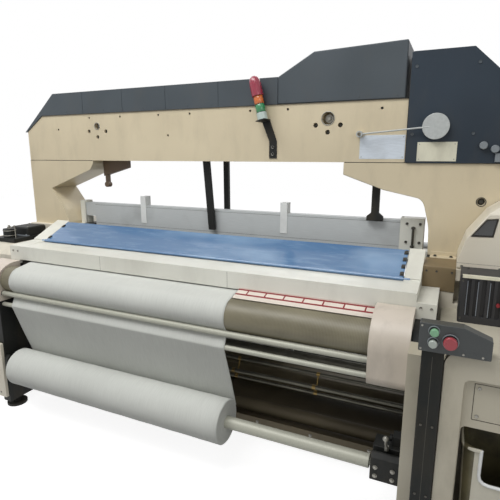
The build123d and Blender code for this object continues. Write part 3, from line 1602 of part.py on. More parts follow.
# Dark selvedge unit on the lower step of the left gear case
unit_width = 200
unit_front_y = left_case_front_y + 90
unit_back_y = left_step_back_y - 12
unit_base_height = 28
unit_body_height = 62
unit_spool_r = 40
with BuildPart() as selvedge:
    with BuildSketch(Plane.XY.offset(left_step_z)):
        with Locations((arch_left_x + unit_width / 2, (unit_front_y + unit_back_y) / 2)):
            Rectangle(unit_width, unit_back_y - unit_front_y)
    extrude(amount=unit_base_height)
    with BuildSketch(Plane.XY.offset(left_step_z + unit_base_height)):
        with Locations((arch_left_x + unit_width / 2, unit_back_y - unit_width / 2)):
            RectangleRounded(unit_width - 30, unit_width - 30, 20)
        with Locations((arch_left_x + unit_width / 2, unit_front_y + unit_spool_r + 6)):
            Circle(unit_spool_r)
    extrude(amount=unit_body_height)
    chamfer(selvedge.faces().sort_by(Axis.Z)[-1].edges(), 8)
keep(selvedge, "left_selvedge_unit")
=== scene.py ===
import json
import math
import random
from itertools import product

import bmesh
import bpy
from mathutils import Matrix, Vector
from mathutils.bvhtree import BVHTree


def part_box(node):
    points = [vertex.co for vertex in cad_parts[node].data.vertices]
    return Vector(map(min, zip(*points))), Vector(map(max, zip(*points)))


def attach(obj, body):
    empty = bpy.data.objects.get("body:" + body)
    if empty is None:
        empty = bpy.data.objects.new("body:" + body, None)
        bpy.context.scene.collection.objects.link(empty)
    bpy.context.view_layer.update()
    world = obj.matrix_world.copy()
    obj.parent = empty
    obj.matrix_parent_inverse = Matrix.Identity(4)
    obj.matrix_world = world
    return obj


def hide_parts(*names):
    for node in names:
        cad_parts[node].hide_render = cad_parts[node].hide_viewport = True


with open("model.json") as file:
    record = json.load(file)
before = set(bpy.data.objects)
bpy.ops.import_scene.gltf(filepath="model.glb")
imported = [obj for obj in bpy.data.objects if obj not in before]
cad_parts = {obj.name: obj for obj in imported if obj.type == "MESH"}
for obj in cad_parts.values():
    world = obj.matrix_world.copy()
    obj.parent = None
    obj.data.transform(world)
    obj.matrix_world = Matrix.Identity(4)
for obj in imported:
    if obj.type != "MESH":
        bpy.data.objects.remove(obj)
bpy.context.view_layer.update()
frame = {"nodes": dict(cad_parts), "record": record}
nodes = frame["nodes"]
random.seed(7)
print("frame loaded:", len(nodes), "nodes")


# Shader maths: a wrapped socket that takes + - *

class Value:
    def __init__(self, tree, socket):
        self.tree = tree
        self.socket = socket

    def maths(self, operation, *terms):
        return mathsNode(self.tree, operation, *terms)

    def __add__(self, other):
        return self.maths("ADD", self, other)

    def __sub__(self, other):
        return self.maths("SUBTRACT", self, other)

    def __rsub__(self, other):
        return self.maths("SUBTRACT", other, self)

    def __mul__(self, other):
        return self.maths("MULTIPLY", self, other)

    def step(self, low, high):
        return self.maths("DIVIDE", self - low, high - low).clamped()

    def clamped(self):
        return self.maths("MINIMUM", self.maths("MAXIMUM", self, 0.0), 1.0)

    def over(self, limit):
        return self.maths("GREATER_THAN", self, limit)

    def wave(self, times=1.0):
        return self.maths("SINE", self * (times * 2 * math.pi)) * 0.5 + 0.5

    def size(self):
        return self.maths("ABSOLUTE", self)


def link(tree, term, socket):
    if isinstance(term, Value):
        tree.links.new(term.socket, socket)
    elif isinstance(term, bpy.types.NodeSocket):
        tree.links.new(term, socket)
    else:
        socket.default_value = term


def mathsNode(tree, operation, *terms):
    node = tree.nodes.new("ShaderNodeMath")
    node.operation = operation
    for term, socket in zip(terms, node.inputs):
        link(tree, term, socket)
    return Value(tree, node.outputs[0])


def linear(red, green, blue):
    # photograph colours 0-255 to the linear values that sockets take
    channels = []
    for part in (red, green, blue):
        part = part / 255
        channels.append(part / 12.92 if part <= 0.04045 else ((part + 0.055) / 1.055) ** 2.4)
    return tuple(channels) + (1.0,)


class Finish:
    def __init__(self, name):
        self.material = bpy.data.materials.new(name)
        self.material.use_nodes = True
        self.tree = self.material.node_tree
        self.tree.nodes.clear()
        self.shader = self.tree.nodes.new("ShaderNodeBsdfPrincipled")
        self.output = self.tree.nodes.new("ShaderNodeOutputMaterial")
        self.tree.links.new(self.shader.outputs[0], self.output.inputs[0])
        self.coords = self.tree.nodes.new("ShaderNodeTexCoord").outputs["Object"]

    def node(self, kind, settings, inputs):
        made = self.tree.nodes.new(kind)
        for name, setting in settings.items():
            setattr(made, name, setting)
        for name, term in inputs.items():
            link(self.tree, term, made.inputs[name])
        return made

    def axis(self, letter, coords=None):
        split = self.node("ShaderNodeSeparateXYZ", {}, {"Vector": coords or self.coords})
        return Value(self.tree, split.outputs[letter])

    def stretch(self, scale, coords=None):
        made = self.node("ShaderNodeMapping", {}, {"Vector": coords or self.coords, "Scale": scale})
        return made.outputs["Vector"]

    def noise(self, scale, detail=3.0, rough=0.55, coords=None):
        made = self.node("ShaderNodeTexNoise", {}, {
            "Vector": coords or self.coords, "Scale": scale, "Detail": detail, "Roughness": rough})
        return Value(self.tree, made.outputs["Fac"])

    def blend(self, factor, *sides):
        # each side is a socket, a linear colour or a photograph colour of three parts
        first, second = [linear(*side) if isinstance(side, tuple) and len(side) == 3 else side for side in sides]
        return self.node("ShaderNodeMix", {"data_type": "RGBA"}, {0: factor, 6: first, 7: second}).outputs[2]

    def faded(self, factor, colour, share):
        # from a photograph colour to a darker tone of it
        return self.blend(factor, colour, tuple(part * share for part in colour))

    def bump(self, height, strength, distance):
        inputs = {"Height": height, "Strength": strength, "Distance": distance}
        return self.node("ShaderNodeBump", {}, inputs).outputs["Normal"]

    def set(self, **inputs):
        # socket names without their spaces, such as BaseColor
        for socket in self.shader.inputs:
            key = socket.name.replace(" ", "")
            if key in inputs:
                link(self.tree, inputs[key], socket)
        return self.material


# Finishes: the soil tones lie on paint and on metal

soil = {"dust": (96, 86, 70), "oil": (92, 88, 80), "rubbed": 22, "bucketSlope": 2.2, "bucketWall": 0.0075}


def linedBucket(outside=(206, 202, 186), insideShade=(96, 90, 64)):
    # pale outside and an olive inside that is painted shade, told apart by the middle of the tapered wall
    pail = Finish("linedBucket")
    low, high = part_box("waste_bucket")
    middle = (low + high) / 2
    sink = (high.z - pail.axis("Z")) * math.tan(math.radians(soil["bucketSlope"])) + soil["bucketWall"]
    spreadX = (pail.axis("X") - middle.x).size() + sink - (high.x - low.x) / 2
    spreadY = (pail.axis("Y") - middle.y).size() + sink - (high.y - low.y) / 2
    shell = mathsNode(pail.tree, "MAXIMUM", spreadX, spreadY).over(0.0)
    grime = pail.noise(9.0, 5.0, 0.65)
    # oil patches darken the inside further, over its painted shade
    oil = pail.faded(grime.step(0.4, 0.7), insideShade, 0.62)
    paint = pail.faded(grime.step(0.5, 0.8) * 0.4, outside, 0.8)
    return pail.set(
        BaseColor=pail.blend(shell, oil, paint), Roughness=(grime * 0.3 + 0.34).clamped(),
        Normal=pail.bump(grime, 0.08, 0.002))


def enamel(name, colour, shade, roughness, dust, gloss=0.5, orangePeel=0.04):
    # sprayed machine enamel: slow tone drift, settled dust, rubbed spots and a fine orange peel
    paint = Finish(name)
    drift = paint.noise(1.7, 2.0)
    speck = paint.noise(38.0, 4.0, 0.7)
    grime = paint.noise(6.0, 5.0, 0.65, paint.stretch((1.0, 1.0, 0.35)))
    body = paint.blend(drift.step(0.35, 0.65), colour, shade)
    dirty = paint.blend(grime.step(0.50, 0.74) * dust, body, soil["dust"])
    rubbed = tuple(min(255, part + soil["rubbed"]) for part in colour)
    worn = paint.blend(speck.step(0.69, 0.75) * 0.35, dirty, rubbed)
    peel = paint.noise(260.0, 2.0)
    return paint.set(
        BaseColor=worn, SpecularIORLevel=gloss,
        Roughness=(speck * 0.16 + grime * 0.12 + (roughness - 0.13)).clamped(),
        Normal=paint.bump(peel + speck * 0.6, orangePeel, 0.002))


def turnedSteel(name, colour, roughness, ringsPerMetre):
    # lathe rings run round the X axis, with oil stains between
    steel = Finish(name)
    rings = steel.axis("X").wave(ringsPerMetre)
    stain = steel.noise(9.0, 4.0)
    return steel.set(
        BaseColor=steel.faded(stain.step(0.4, 0.7) * 0.6, colour, 0.72), Metallic=0.85,
        Roughness=(stain * 0.22 + rings * 0.05 + (roughness - 0.12)).clamped(),
        Normal=steel.bump(rings + stain, 0.08, 0.001))


def drawnMetal(name, colour, roughness, stretchBy=(1.0, 60.0, 60.0), metallic=0.6):
    # brushed along X
    metal = Finish(name)
    grain = metal.noise(14.0, 4.0, 0.6, metal.stretch(stretchBy))
    stain = metal.noise(3.2, 3.0)
    tone = metal.faded(grain.step(0.3, 0.7) * 0.5, colour, 0.84)
    soiled = metal.blend(stain.step(0.55, 0.8) * 0.35, tone, soil["oil"])
    return metal.set(
        BaseColor=soiled, Metallic=metallic,
        Roughness=(grain * 0.18 + (roughness - 0.09)).clamped(),
        Normal=metal.bump(grain, 0.06, 0.001))


def moulded(name, colour, roughness, coat=0.0):
    # moulded plastic with a fine grain and finger marks
    plastic = Finish(name)
    grain = plastic.noise(420.0, 2.0)
    marks = plastic.noise(11.0, 4.0, 0.6)
    return plastic.set(
        BaseColor=plastic.faded(marks.step(0.4, 0.75) * 0.3, colour, 0.8), CoatWeight=coat,
        Roughness=(marks * 0.2 + (roughness - 0.1)).clamped(), Normal=plastic.bump(grain, 0.05, 0.0006))


def weave(name, colour, shade, threads):
    # plain weave from the piece's own UV, in metres
    cloth = Finish(name)
    uv = cloth.tree.nodes.new("ShaderNodeUVMap").outputs["UV"]
    warp, weft = [cloth.axis(letter, uv).wave(threads) for letter in "XY"]
    slub = cloth.noise(4.0, 4.0, 0.6, cloth.stretch((60.0, 3.0, 1.0), uv))
    # fold: soft darker patches, painted shade of folds in the cloth
    fold = cloth.noise(2.4, 3.0)
    share = slub.step(0.42, 0.62) * 0.35 + fold.step(0.4, 0.7) * 0.35
    return cloth.set(
        BaseColor=cloth.blend(share, colour, shade), Roughness=(slub * 0.1 + 0.78).clamped(),
        SheenWeight=0.25, SheenRoughness=0.5,
        Normal=cloth.bump(warp * weft + slub * 0.8, 0.25, 0.0006))


def gripRubber():
    # fine grooves run round the roller, dust in them, and a shine where it has been rubbed
    rubber = Finish("gripRubber")
    groove = rubber.axis("X").wave(160.0)
    shine = rubber.noise(3.0, 4.0, 0.6, rubber.stretch((1.0, 3.0, 3.0)))
    tone = rubber.blend(shine.step(0.35, 0.7), (118, 112, 90), (84, 78, 60))
    dusty = rubber.blend(groove * 0.25, tone, (150, 146, 128))
    return rubber.set(
        BaseColor=dusty, Roughness=(shine * 0.25 + 0.36).clamped(),
        Normal=rubber.bump(groove, 0.15, 0.0008))


def tintedGuard():
    # clear blue sheet over a pale backing: the tone lightens in soft patches of painted reflection, and smears
    # lighten it further
    sheet = Finish("tintedGuard")
    waveAndReflection = sheet.noise(2.1, 2.0, 0.5, sheet.stretch((1.0, 2.0, 2.0)))
    swirl = sheet.noise(16.0, 4.0, 0.65, sheet.stretch((0.35, 2.0, 2.0)))
    # lighter soft patches are painted reflection
    tone = sheet.blend(waveAndReflection.step(0.45, 0.62), (82, 118, 158), (116, 147, 180))
    smearsOnReflection = sheet.blend(swirl.step(0.5, 0.72) * 0.4, tone, (140, 168, 198))
    return sheet.set(
        BaseColor=smearsOnReflection, Roughness=(swirl * 0.2 + 0.1).clamped(), CoatWeight=0.6, CoatRoughness=0.08,
        Normal=sheet.bump(waveAndReflection + swirl * 0.2, 0.06, 0.004))


def lens(name, colour):
    # ribbed lamp shade, lit a little from inside
    shade = Finish(name)
    ribsAndShade = shade.axis("X").wave(210.0)
    # the ribs darken the colour in alternate bands: painted shade of the ribs
    tone = shade.faded(ribsAndShade, colour, 0.7)
    return shade.set(
        BaseColor=tone, Roughness=(ribsAndShade * 0.1 + 0.16).clamped(), CoatWeight=0.5,
        EmissionColor=tone, EmissionStrength=0.12, Normal=shade.bump(ribsAndShade, 0.3, 0.001))


def woundYarn():
    # yarn wound side by side: fine lines across the beam and slow bands of tension
    yarn = Finish("woundYarn")
    thread = yarn.axis("X").wave(260.0)
    band = yarn.noise(1.0, 3.0, 0.5, yarn.stretch((14.0, 0.3, 0.3)))
    tone = yarn.blend(band.step(0.35, 0.65), (222, 220, 210), (198, 196, 186))
    return yarn.set(
        BaseColor=tone, Roughness=(band * 0.15 + 0.55).clamped(), SheenWeight=0.3,
        Normal=yarn.bump(thread, 0.3, 0.0008))


finishes = {
    "beige": enamel("beigeEnamel", (212, 199, 170), (201, 188, 160), 0.42, 0.16),
    "cream": enamel("creamEnamel", (222, 216, 200), (208, 200, 182), 0.40, 0.22),
    "tray": enamel("trayEnamel", (226, 226, 216), (214, 213, 202), 0.34, 0.14),
    "cabinet": enamel("cabinetEnamel", (198, 192, 174), (176, 169, 150), 0.42, 0.30),
    "slate": enamel("slateEnamel", (76, 83, 88), (66, 73, 78), 0.50, 0.16, 0.3),
    "darkBox": enamel("darkBoxEnamel", (44, 54, 64), (37, 46, 55), 0.46, 0.12, 0.25),
    "black": enamel("blackEnamel", (36, 37, 35), (27, 28, 27), 0.52, 0.30, 0.22),
    "oilyIron": enamel("oilyIron", (142, 131, 106), (104, 95, 76), 0.50, 0.40, 0.3),
    # brown of the hanger bracket: painted shade under the beam
    "brown": enamel("shadeBrownEnamel", (104, 84, 62), (84, 66, 48), 0.50, 0.30),
    "rail": drawnMetal("railGrey", (204, 208, 208), 0.42, metallic=0.15),
    "steel": turnedSteel("turnedSteel", (176, 178, 178), 0.34, 900.0),
    "tube": drawnMetal("lightTube", (178, 178, 164), 0.5, (40.0, 6.0, 6.0), 0.15),
    "disc": drawnMetal("discGrey", (180, 184, 182), 0.45, (5.0, 5.0, 5.0), 0.15),
    "guard": tintedGuard(),
    "rubber": gripRubber(),
    "cloth": weave("wovenCloth", (202, 204, 198), (184, 186, 180), 900.0),
    "yarn": woundYarn(),
    "belt": moulded("beltRubber", (30, 30, 30), 0.6),
    "columnBlack": enamel("columnBlack", (26, 29, 27), (20, 22, 21), 0.48, 0.14, 0.18),
    "panelBlack": moulded("panelBlack", (46, 50, 50), 0.42, 0.1),
    "baseGrey": moulded("lampBasePale", (190, 205, 198), 0.35, 0.2),
    "greenLens": lens("greenLens", (44, 140, 84)),
    "orangeLens": lens("orangeLens", (226, 116, 40)),
    "redLens": lens("redLens", (158, 34, 62)),
    "greenButton": moulded("greenButton", (116, 168, 128), 0.30, 0.4),
    "paleButton": moulded("paleButton", (166, 174, 166), 0.34, 0.3),
    "redButton": moulded("redButton", (150, 34, 46), 0.30, 0.4),
    "bucket": linedBucket(),
    "ventBlack": moulded("ventBlack", (36, 36, 38), 0.5),
    "seam": moulded("seamShadow", (44, 40, 34), 0.8),
    "screw": drawnMetal("screwBlack", (74, 72, 66), 0.45, (9.0, 9.0, 9.0), 0.6),
    "steelDull": drawnMetal("dullSteel", (148, 146, 138), 0.46, (9.0, 9.0, 9.0), 0.6),
    "silverPlate": drawnMetal("silverPlate", (206, 214, 222), 0.36, (1.5, 1.0, 9.0), 0.35),
    "creamPlate": enamel("creamPlate", (226, 222, 200), (206, 204, 184), 0.35, 0.30),
    "knobGrey": moulded("knobGrey", (120, 126, 130), 0.4, 0.2),
    "whiteTab": moulded("whiteTab", (232, 234, 232), 0.42, 0.1),
    "stripCream": enamel("stripCream", (222, 212, 200), (206, 196, 184), 0.38, 0.20),
    "stripRed": moulded("stripRed", (132, 34, 40), 0.45),
    # dark pane: painted shade of an opening
    "shadePane": moulded("shadePane", (40, 42, 42), 0.16, 0.6),
    "louvreHighlight": moulded("louvreHighlight", (132, 138, 146), 0.4),
    "pipe": turnedSteel("pipeSteel", (108, 106, 96), 0.55, 300.0),
    "scuffed": enamel("scuffedCream", (214, 202, 190), (200, 190, 176), 0.40, 0.30),
    "pocketShadeBrown": enamel("pocketShadeBrown", (140, 123, 92), (114, 98, 70), 0.52, 0.25),
    "brass": drawnMetal("oiledBrass", (150, 126, 74), 0.38, (9.0, 9.0, 9.0), 0.7),
}
print("finishes made:", len(finishes))


# Dressing: every CAD node gets a copy with softened edges in its own finish

bodyOf = {}
for bodyName, members in frame["record"]["behaviour"]["bodies"].items():
    for member in members:
        bodyOf[member] = bodyName
dressing = {"mergeAt": 0.00002, "cadMergeAt": 0.00001, "flatAngle": 0.6, "smoothAngle": 32.0, "bevelAngle": 34.0}


def settle(name, mesh, finish, body, smooth=dressing["smoothAngle"], recalculate=True):
    # a bmesh becomes a piece that rides on a body
    if recalculate:
        bmesh.ops.remove_doubles(mesh, verts=mesh.verts, dist=dressing["mergeAt"])
        bmesh.ops.recalc_face_normals(mesh, faces=mesh.faces)
    data = bpy.data.meshes.new(name)
    mesh.to_mesh(data)
    mesh.free()
    made = bpy.data.objects.new(name, data)
    bpy.context.scene.collection.objects.link(made)
    data.materials.append(finishes[finish])
    data.polygons.foreach_set("use_smooth", [True] * len(data.polygons))
    data.set_sharp_from_angle(angle=math.radians(smooth))
    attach(made, body)
    return made


def addBevel(made, width):
    edge = made.modifiers.new("edge", "BEVEL")
    edge.width = width
    edge.segments = 2
    edge.limit_method = "ANGLE"
    edge.angle_limit = math.radians(dressing["bevelAngle"])
    edge.use_clamp_overlap = True
    edge.harden_normals = True
    made.modifiers.new("flat", "WEIGHTED_NORMAL").keep_sharp = True


def softened(node, finish, width):
    # merged copy of a CAD node: flat facets joined, hard edges rounded
    mesh = bmesh.new()
    mesh.from_mesh(nodes[node].data)
    bmesh.ops.remove_doubles(mesh, verts=mesh.verts, dist=dressing["cadMergeAt"])
    bmesh.ops.dissolve_limit(
        mesh, angle_limit=math.radians(dressing["flatAngle"]), verts=mesh.verts, edges=mesh.edges, delimit=set())
    made = settle(node + "Skin", mesh, finish, bodyOf[node], recalculate=False)
    if width:
        addBevel(made, width)
    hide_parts(node)


skins = {
    # (finish, edge width in metres): nodes
    ("black", 0.004): "left_side_frame right_side_frame",
    ("black", 0.003): "heald_guide_posts cloth_roll_brackets left_selvedge_unit",
    ("black", 0.002): "breast_beam levelling_feet drive_pulley motor_pulley", ("black", 0.001): "lamp_bracket",
    ("oilyIron", 0.003): "cross_members", ("cream", 0.003): "left_gear_case right_gear_case let_off_gearbox",
    ("cream", 0.004): "upper_housing", ("beige", 0.006): "arch_leg_left arch_leg_right arch_beam",
    ("slate", 0.005): "beam_cover", ("slate", 0.006): "raised_cowl", ("darkBox", 0.008): "shed_drive_box",
    ("darkBox", 0.001): "drive_motor", ("brown", 0.003): "hanger_bracket", ("disc", 0.001): "call_flag",
    ("tray", 0.003): "heald_frame_guides", ("tray", 0.004): "breast_cover",
    ("rail", 0.002): "sley_beam", ("rail", 0.003): "warp_beam_flanges",
    ("rail", 0.001): "heald_frame_1 heald_frame_2 heald_frame_3 heald_frame_4",
    ("pipe", 0.002): "rocking_shaft main_shaft", ("steel", 0.003): "warp_beam", ("steel", 0.002): "back_rest",
    ("steel", 0.0): "reed", ("tube", 0.001): "press_roller guide_bar", ("tube", 0.002): "cloth_roll_core",
    ("scuffed", 0.001): "roller_end_guards", ("belt", 0.001): "drive_belt", ("cabinet", 0.005): "right_cabinet",
    ("columnBlack", 0.003): "control_column", ("panelBlack", 0.003): "control_panel",
    ("ventBlack", 0.002): "vented_box", ("bucket", 0.001): "waste_bucket", ("greenButton", 0.001): "start_button",
    ("paleButton", 0.001): "jog_button", ("redButton", 0.001): "stop_button", ("baseGrey", 0.001): "lamp_base",
    ("greenLens", 0.0): "lamp_green", ("orangeLens", 0.0): "lamp_orange", ("redLens", 0.0): "lamp_red",
    ("guard", 0.001): "splash_guard", ("rubber", 0.001): "take_up_roller",
}
for (finish, width), members in skins.items():
    for node in members.split():
        softened(node, finish, width)
print("nodes dressed:", sum(len(members.split()) for members in skins.values()))


# Shapes that the pieces are made from; shares are of a head's height or width

fixing = {
    "washerHeight": 0.22, "shoulder": 0.85, "washerReach": 0.75, "hexReach": 0.577, "chamferReach": 0.47,
    "socketRim": 0.42, "socketDepth": 0.5,
    # metres: how far off a face is looked for, and how deep a head sinks into it
    "lookFrom": 0.4, "sink": 0.0003,
}


def slab(mesh, low, high):
    low, high = Vector(low), Vector(high)
    place = Matrix.Translation((low + high) / 2) @ Matrix.Diagonal((high - low).to_4d())
    return bmesh.ops.create_cube(mesh, size=1.0, matrix=place)["verts"]


def rod(mesh, start, end, radius, sides=20, farRadius=None):
    start, end = Vector(start), Vector(end)
    turn = (end - start).to_track_quat("Z", "Y").to_matrix().to_4x4()
    return bmesh.ops.create_cone(
        mesh, cap_ends=True, segments=sides, radius1=radius, radius2=radius if farRadius is None else farRadius,
        depth=(end - start).length, matrix=Matrix.Translation((start + end) / 2) @ turn)["verts"]


def bentRod(mesh, places, radius, sides=12):
    # straight lengths with a ball at each bend
    for start, end in zip(places, places[1:]):
        rod(mesh, start, end, radius, sides)
    for place in places[1:-1]:
        bmesh.ops.create_icosphere(mesh, subdivisions=2, radius=radius * 1.02, matrix=Matrix.Translation(place))


def hoop(mesh, centre, axis, radius, thick, around=36, section=8):
    # a round wire bent to a full ring
    centre, axis = Vector(centre), Vector(axis).normalized()
    side = axis.orthogonal().normalized()
    turn = Matrix((side, axis, side.cross(axis))).transposed().to_4x4()
    wire = bmesh.ops.create_circle(
        mesh, segments=section, radius=thick, matrix=Matrix.Translation(centre + side * radius) @ turn)["verts"]
    edges = list({edge for vert in wire for edge in vert.link_edges})
    bmesh.ops.spin(mesh, geom=wire + edges, cent=centre, axis=axis, angle=2 * math.pi, steps=around, use_merge=True)


def hexBolt(mesh, place, outward, across, height):
    # washer and chamfered hexagon head, seated on a face
    place, outward = Vector(place), Vector(outward)
    washer = place + outward * height * fixing["washerHeight"]
    shoulder = place + outward * height * fixing["shoulder"]
    reach = across * fixing["hexReach"]
    rod(mesh, place, washer, across * fixing["washerReach"], 24)
    rod(mesh, washer, shoulder, reach, 6)
    rod(mesh, shoulder, place + outward * height, reach, 6, across * fixing["chamferReach"])


def capScrew(mesh, place, outward, radius, height):
    # round head with a sunk socket
    place, outward = Vector(place), Vector(outward)
    head = rod(mesh, place, place + outward * height, radius, 20)
    faces = {face for vert in head for face in vert.link_faces}
    top = max(faces, key=lambda face: face.calc_center_median().dot(outward))
    bmesh.ops.inset_region(mesh, faces=[top], thickness=radius * fixing["socketRim"], use_even_offset=True)
    bmesh.ops.translate(mesh, verts=list(top.verts), vec=-outward * height * fixing["socketDepth"])


def outlined(mesh, points, depth):
    # a flat outline, filled and pushed out by a vector
    verts = [mesh.verts.new(point) for point in points]
    face = mesh.faces.new(verts)
    pushed = bmesh.ops.extrude_face_region(mesh, geom=[face])["geom"]
    bmesh.ops.translate(mesh, verts=[part for part in pushed if isinstance(part, bmesh.types.BMVert)], vec=depth)


def chain(mesh, points):
    # a row of edges through the points, grown one vertex at a time
    last = bmesh.ops.create_vert(mesh, co=points[0])["vert"]
    row = list(last)
    for here, there in zip(points, points[1:]):
        grown = bmesh.ops.extrude_vert_indiv(mesh, verts=last)
        last = grown["verts"]
        bmesh.ops.translate(mesh, verts=last, vec=Vector(there) - Vector(here))
        row += last
    return row, list({edge for vert in row for edge in vert.link_edges})


def turned(mesh, profile, centre, axis, around=64):
    # a lathe profile spun about an axis
    row, edges = chain(mesh, profile)
    bmesh.ops.spin(
        mesh, geom=row + edges, cent=centre, axis=axis, angle=2 * math.pi, steps=around, use_merge=True)


toLeft, toRight, toFront, toBack, toTop = (-1, 0, 0), (1, 0, 0), (0, -1, 0), (0, 1, 0), (0, 0, 1)


def onPlane(axis, face, pairs):
    # places on a plane across an axis, from pairs of the other two coordinates
    places = []
    for pair in pairs:
        place = list(pair)
        place.insert(axis, face)
        places.append(tuple(place))
    return places


def heads(mesh, kind, outward, size, height, places):
    # the same screw or bolt at each place
    for place in places:
        kind(mesh, place, outward, size, height)


def ruled(mesh, corners, place, axis, half, lift):
    # four thin strips round a rectangle: corners (low, high) in the plane across the axis
    (left, low), (right, high) = corners
    for startAcross, startUp, endAcross, endUp in (
            (left, low, right, low), (left, high, right, high), (left, low, left, high), (right, low, right, high)):
        first, last = [startAcross - half, startUp - half], [endAcross + half, endUp + half]
        first.insert(axis, place - lift)
        last.insert(axis, place + lift)
        slab(mesh, first, last)


def centreOf(node):
    low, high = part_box(node)
    return (low + high) / 2


surfaces = {}


def onFace(node, start, direction):
    # where a straight line from start first meets the node
    if node not in surfaces:
        mesh = bmesh.new()
        mesh.from_mesh(nodes[node].data)
        surfaces[node] = BVHTree.FromBMesh(mesh)
        mesh.free()
    return surfaces[node].ray_cast(Vector(start), Vector(direction).normalized())[0]


def seated(mesh, kind, node, outward, size, height, spots):
    # screws or bolts on whatever face of the node lies behind each spot
    outward = Vector(outward)
    for spot in spots:
        seat = onFace(node, Vector(spot) + outward * fixing["lookFrom"], -outward)
        kind(mesh, seat - outward * fixing["sink"], outward, size, height)


def piece(name, build, finish, node, bevel=0.0):
    # build(mesh) makes the shape, and node names the CAD node whose body carries it
    mesh = bmesh.new()
    build(mesh)
    made = settle(name, mesh, finish, bodyOf[node])
    if bevel:
        addBevel(made, bevel)


def dressed(finish, node, bevel=0.0):
    # makes the function below it into the piece of its name
    def make(build):
        piece(build.__name__, build, finish, node, bevel)
        return build
    return make


# Cloth and warp: webs that run over the bars, each with its UV in metres

webs = {
    "columns": 96, "spacing": 0.008, "hang": 0.0016, "thick": 0.0012, "offset": 0.00125, "noseRadius": 0.025,
    "lineDrop": 0.00075, "hangDrop": 0.05, "hangDepth": 0.3, "foldsAcross": 19.0, "foldsDown": 5.0,
}


def circleOf(node, side):
    low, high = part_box(node)
    return (low.y + high.y) / 2, (low.z + high.z) / 2, (high.z - low.z) / 2 + webs["offset"], side


def tangentRun(start, end):
    # straight run between two wrapped circles, each (y, z, radius, side)
    (y1, z1, r1, s1), (y2, z2, r2, s2) = start, end
    heading = math.atan2(z2 - z1, y2 - y1) - math.asin((s2 * r2 - s1 * r1) / math.hypot(y2 - y1, z2 - z1))
    normal = Vector((-math.sin(heading), math.cos(heading)))
    return Vector((y1, z1)) - normal * s1 * r1, Vector((y2, z2)) - normal * s2 * r2


def wrapPath(stations):
    # evenly spaced points along a web that runs over the circles in turn
    runs = [tangentRun(a, b) for a, b in zip(stations, stations[1:])]
    path = []
    for index, (leave, meet) in enumerate(runs):
        steps = max(2, int((meet - leave).length / webs["spacing"]))
        path += [leave.lerp(meet, step / steps) for step in range(steps)]
        if index + 1 < len(runs):
            y, z, radius, side = stations[index + 1]
            begin = math.atan2(meet.y - z, meet.x - y)
            after = runs[index + 1][0]
            turn = (math.atan2(after.y - z, after.x - y) - begin) % (2 * math.pi)
            if side < 0:
                turn -= 2 * math.pi
            steps = max(3, int(abs(turn) * radius / webs["spacing"]))
            angles = [begin + turn * step / steps for step in range(steps)]
            path += [Vector((y + radius * math.cos(angle), z + radius * math.sin(angle))) for angle in angles]
    return path + [runs[-1][1]]


def webPiece(name, stations, finish, node, ripple=0.0):
    # one row of edges along the path, drawn out across the width
    low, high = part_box(node)
    path = wrapPath(stations)
    travelled = [0.0]
    for here, there in zip(path, path[1:]):
        travelled.append(travelled[-1] + (there - here).length)
    mesh = bmesh.new()
    along = mesh.verts.layers.float.new("along")
    uv = mesh.loops.layers.uv.new("UVMap")
    row, edges = chain(mesh, [(low.x, point.x, point.y) for point in path])
    for vert, distance in zip(row, travelled):
        vert[along] = distance
    width = high.x - low.x
    for _ in range(webs["columns"]):
        grown = bmesh.ops.extrude_edge_only(mesh, edges=edges)["geom"]
        edges = [part for part in grown if isinstance(part, bmesh.types.BMEdge)]
        moved = [part for part in grown if isinstance(part, bmesh.types.BMVert)]
        bmesh.ops.translate(mesh, verts=moved, vec=(width / webs["columns"], 0.0, 0.0))
    for face in mesh.faces:
        for loop in face.loops:
            loop[uv].uv = (loop.vert.co.x - low.x, loop.vert[along])
    hangStart = stations[-2][1] - webs["hangDrop"]
    for vert in mesh.verts:
        if ripple and vert.co.z < hangStart:
            depth = max(0.0, min(1.0, (hangStart - vert.co.z) / webs["hangDepth"]))
            fold = math.sin(vert.co.x * webs["foldsAcross"] + vert.co.z * webs["foldsDown"])
            vert.co.y += ripple * fold * math.sin(depth * math.pi)
    web = settle(name, mesh, finish, bodyOf[node], 60.0)
    thicken = web.modifiers.new("thickness", "SOLIDIFY")
    thicken.thickness = webs["thick"]
    thicken.offset = 0.0
    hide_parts(node)
    print(name, "flat size in metres:", round(width, 3), "by", round(travelled[-1], 3))


clothLow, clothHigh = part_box("cloth_sheet")
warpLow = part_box("warp_sheet")[0]
beamLow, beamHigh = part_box("breast_beam")
warpLine = clothHigh.z - webs["lineDrop"]
noseRadius = webs["noseRadius"]
webPiece(
    "clothWeb", [
        (clothHigh.y, warpLine, 0.0, 1),
        (beamLow.y + noseRadius, beamHigh.z - noseRadius, noseRadius + webs["offset"], 1),
        circleOf("take_up_roller", 1), circleOf("press_roller", -1), circleOf("guide_bar", 1),
        circleOf("cloth_roll", -1)],
    "cloth", "cloth_sheet", webs["hang"])
webPiece(
    "warpWeb", [(warpLow.y, warpLine, 0.0, -1), circleOf("back_rest", -1), circleOf("warp_yarn", -1)],
    "yarn", "warp_sheet")


rolls = {
    "around": 96, "layers": 9, "stagger": 0.0018, "edgeRound": 0.004, "ripple": 0.0006, "skinSteps": 24, "waves": 1.9,
    "clearance": 0.0004,
}


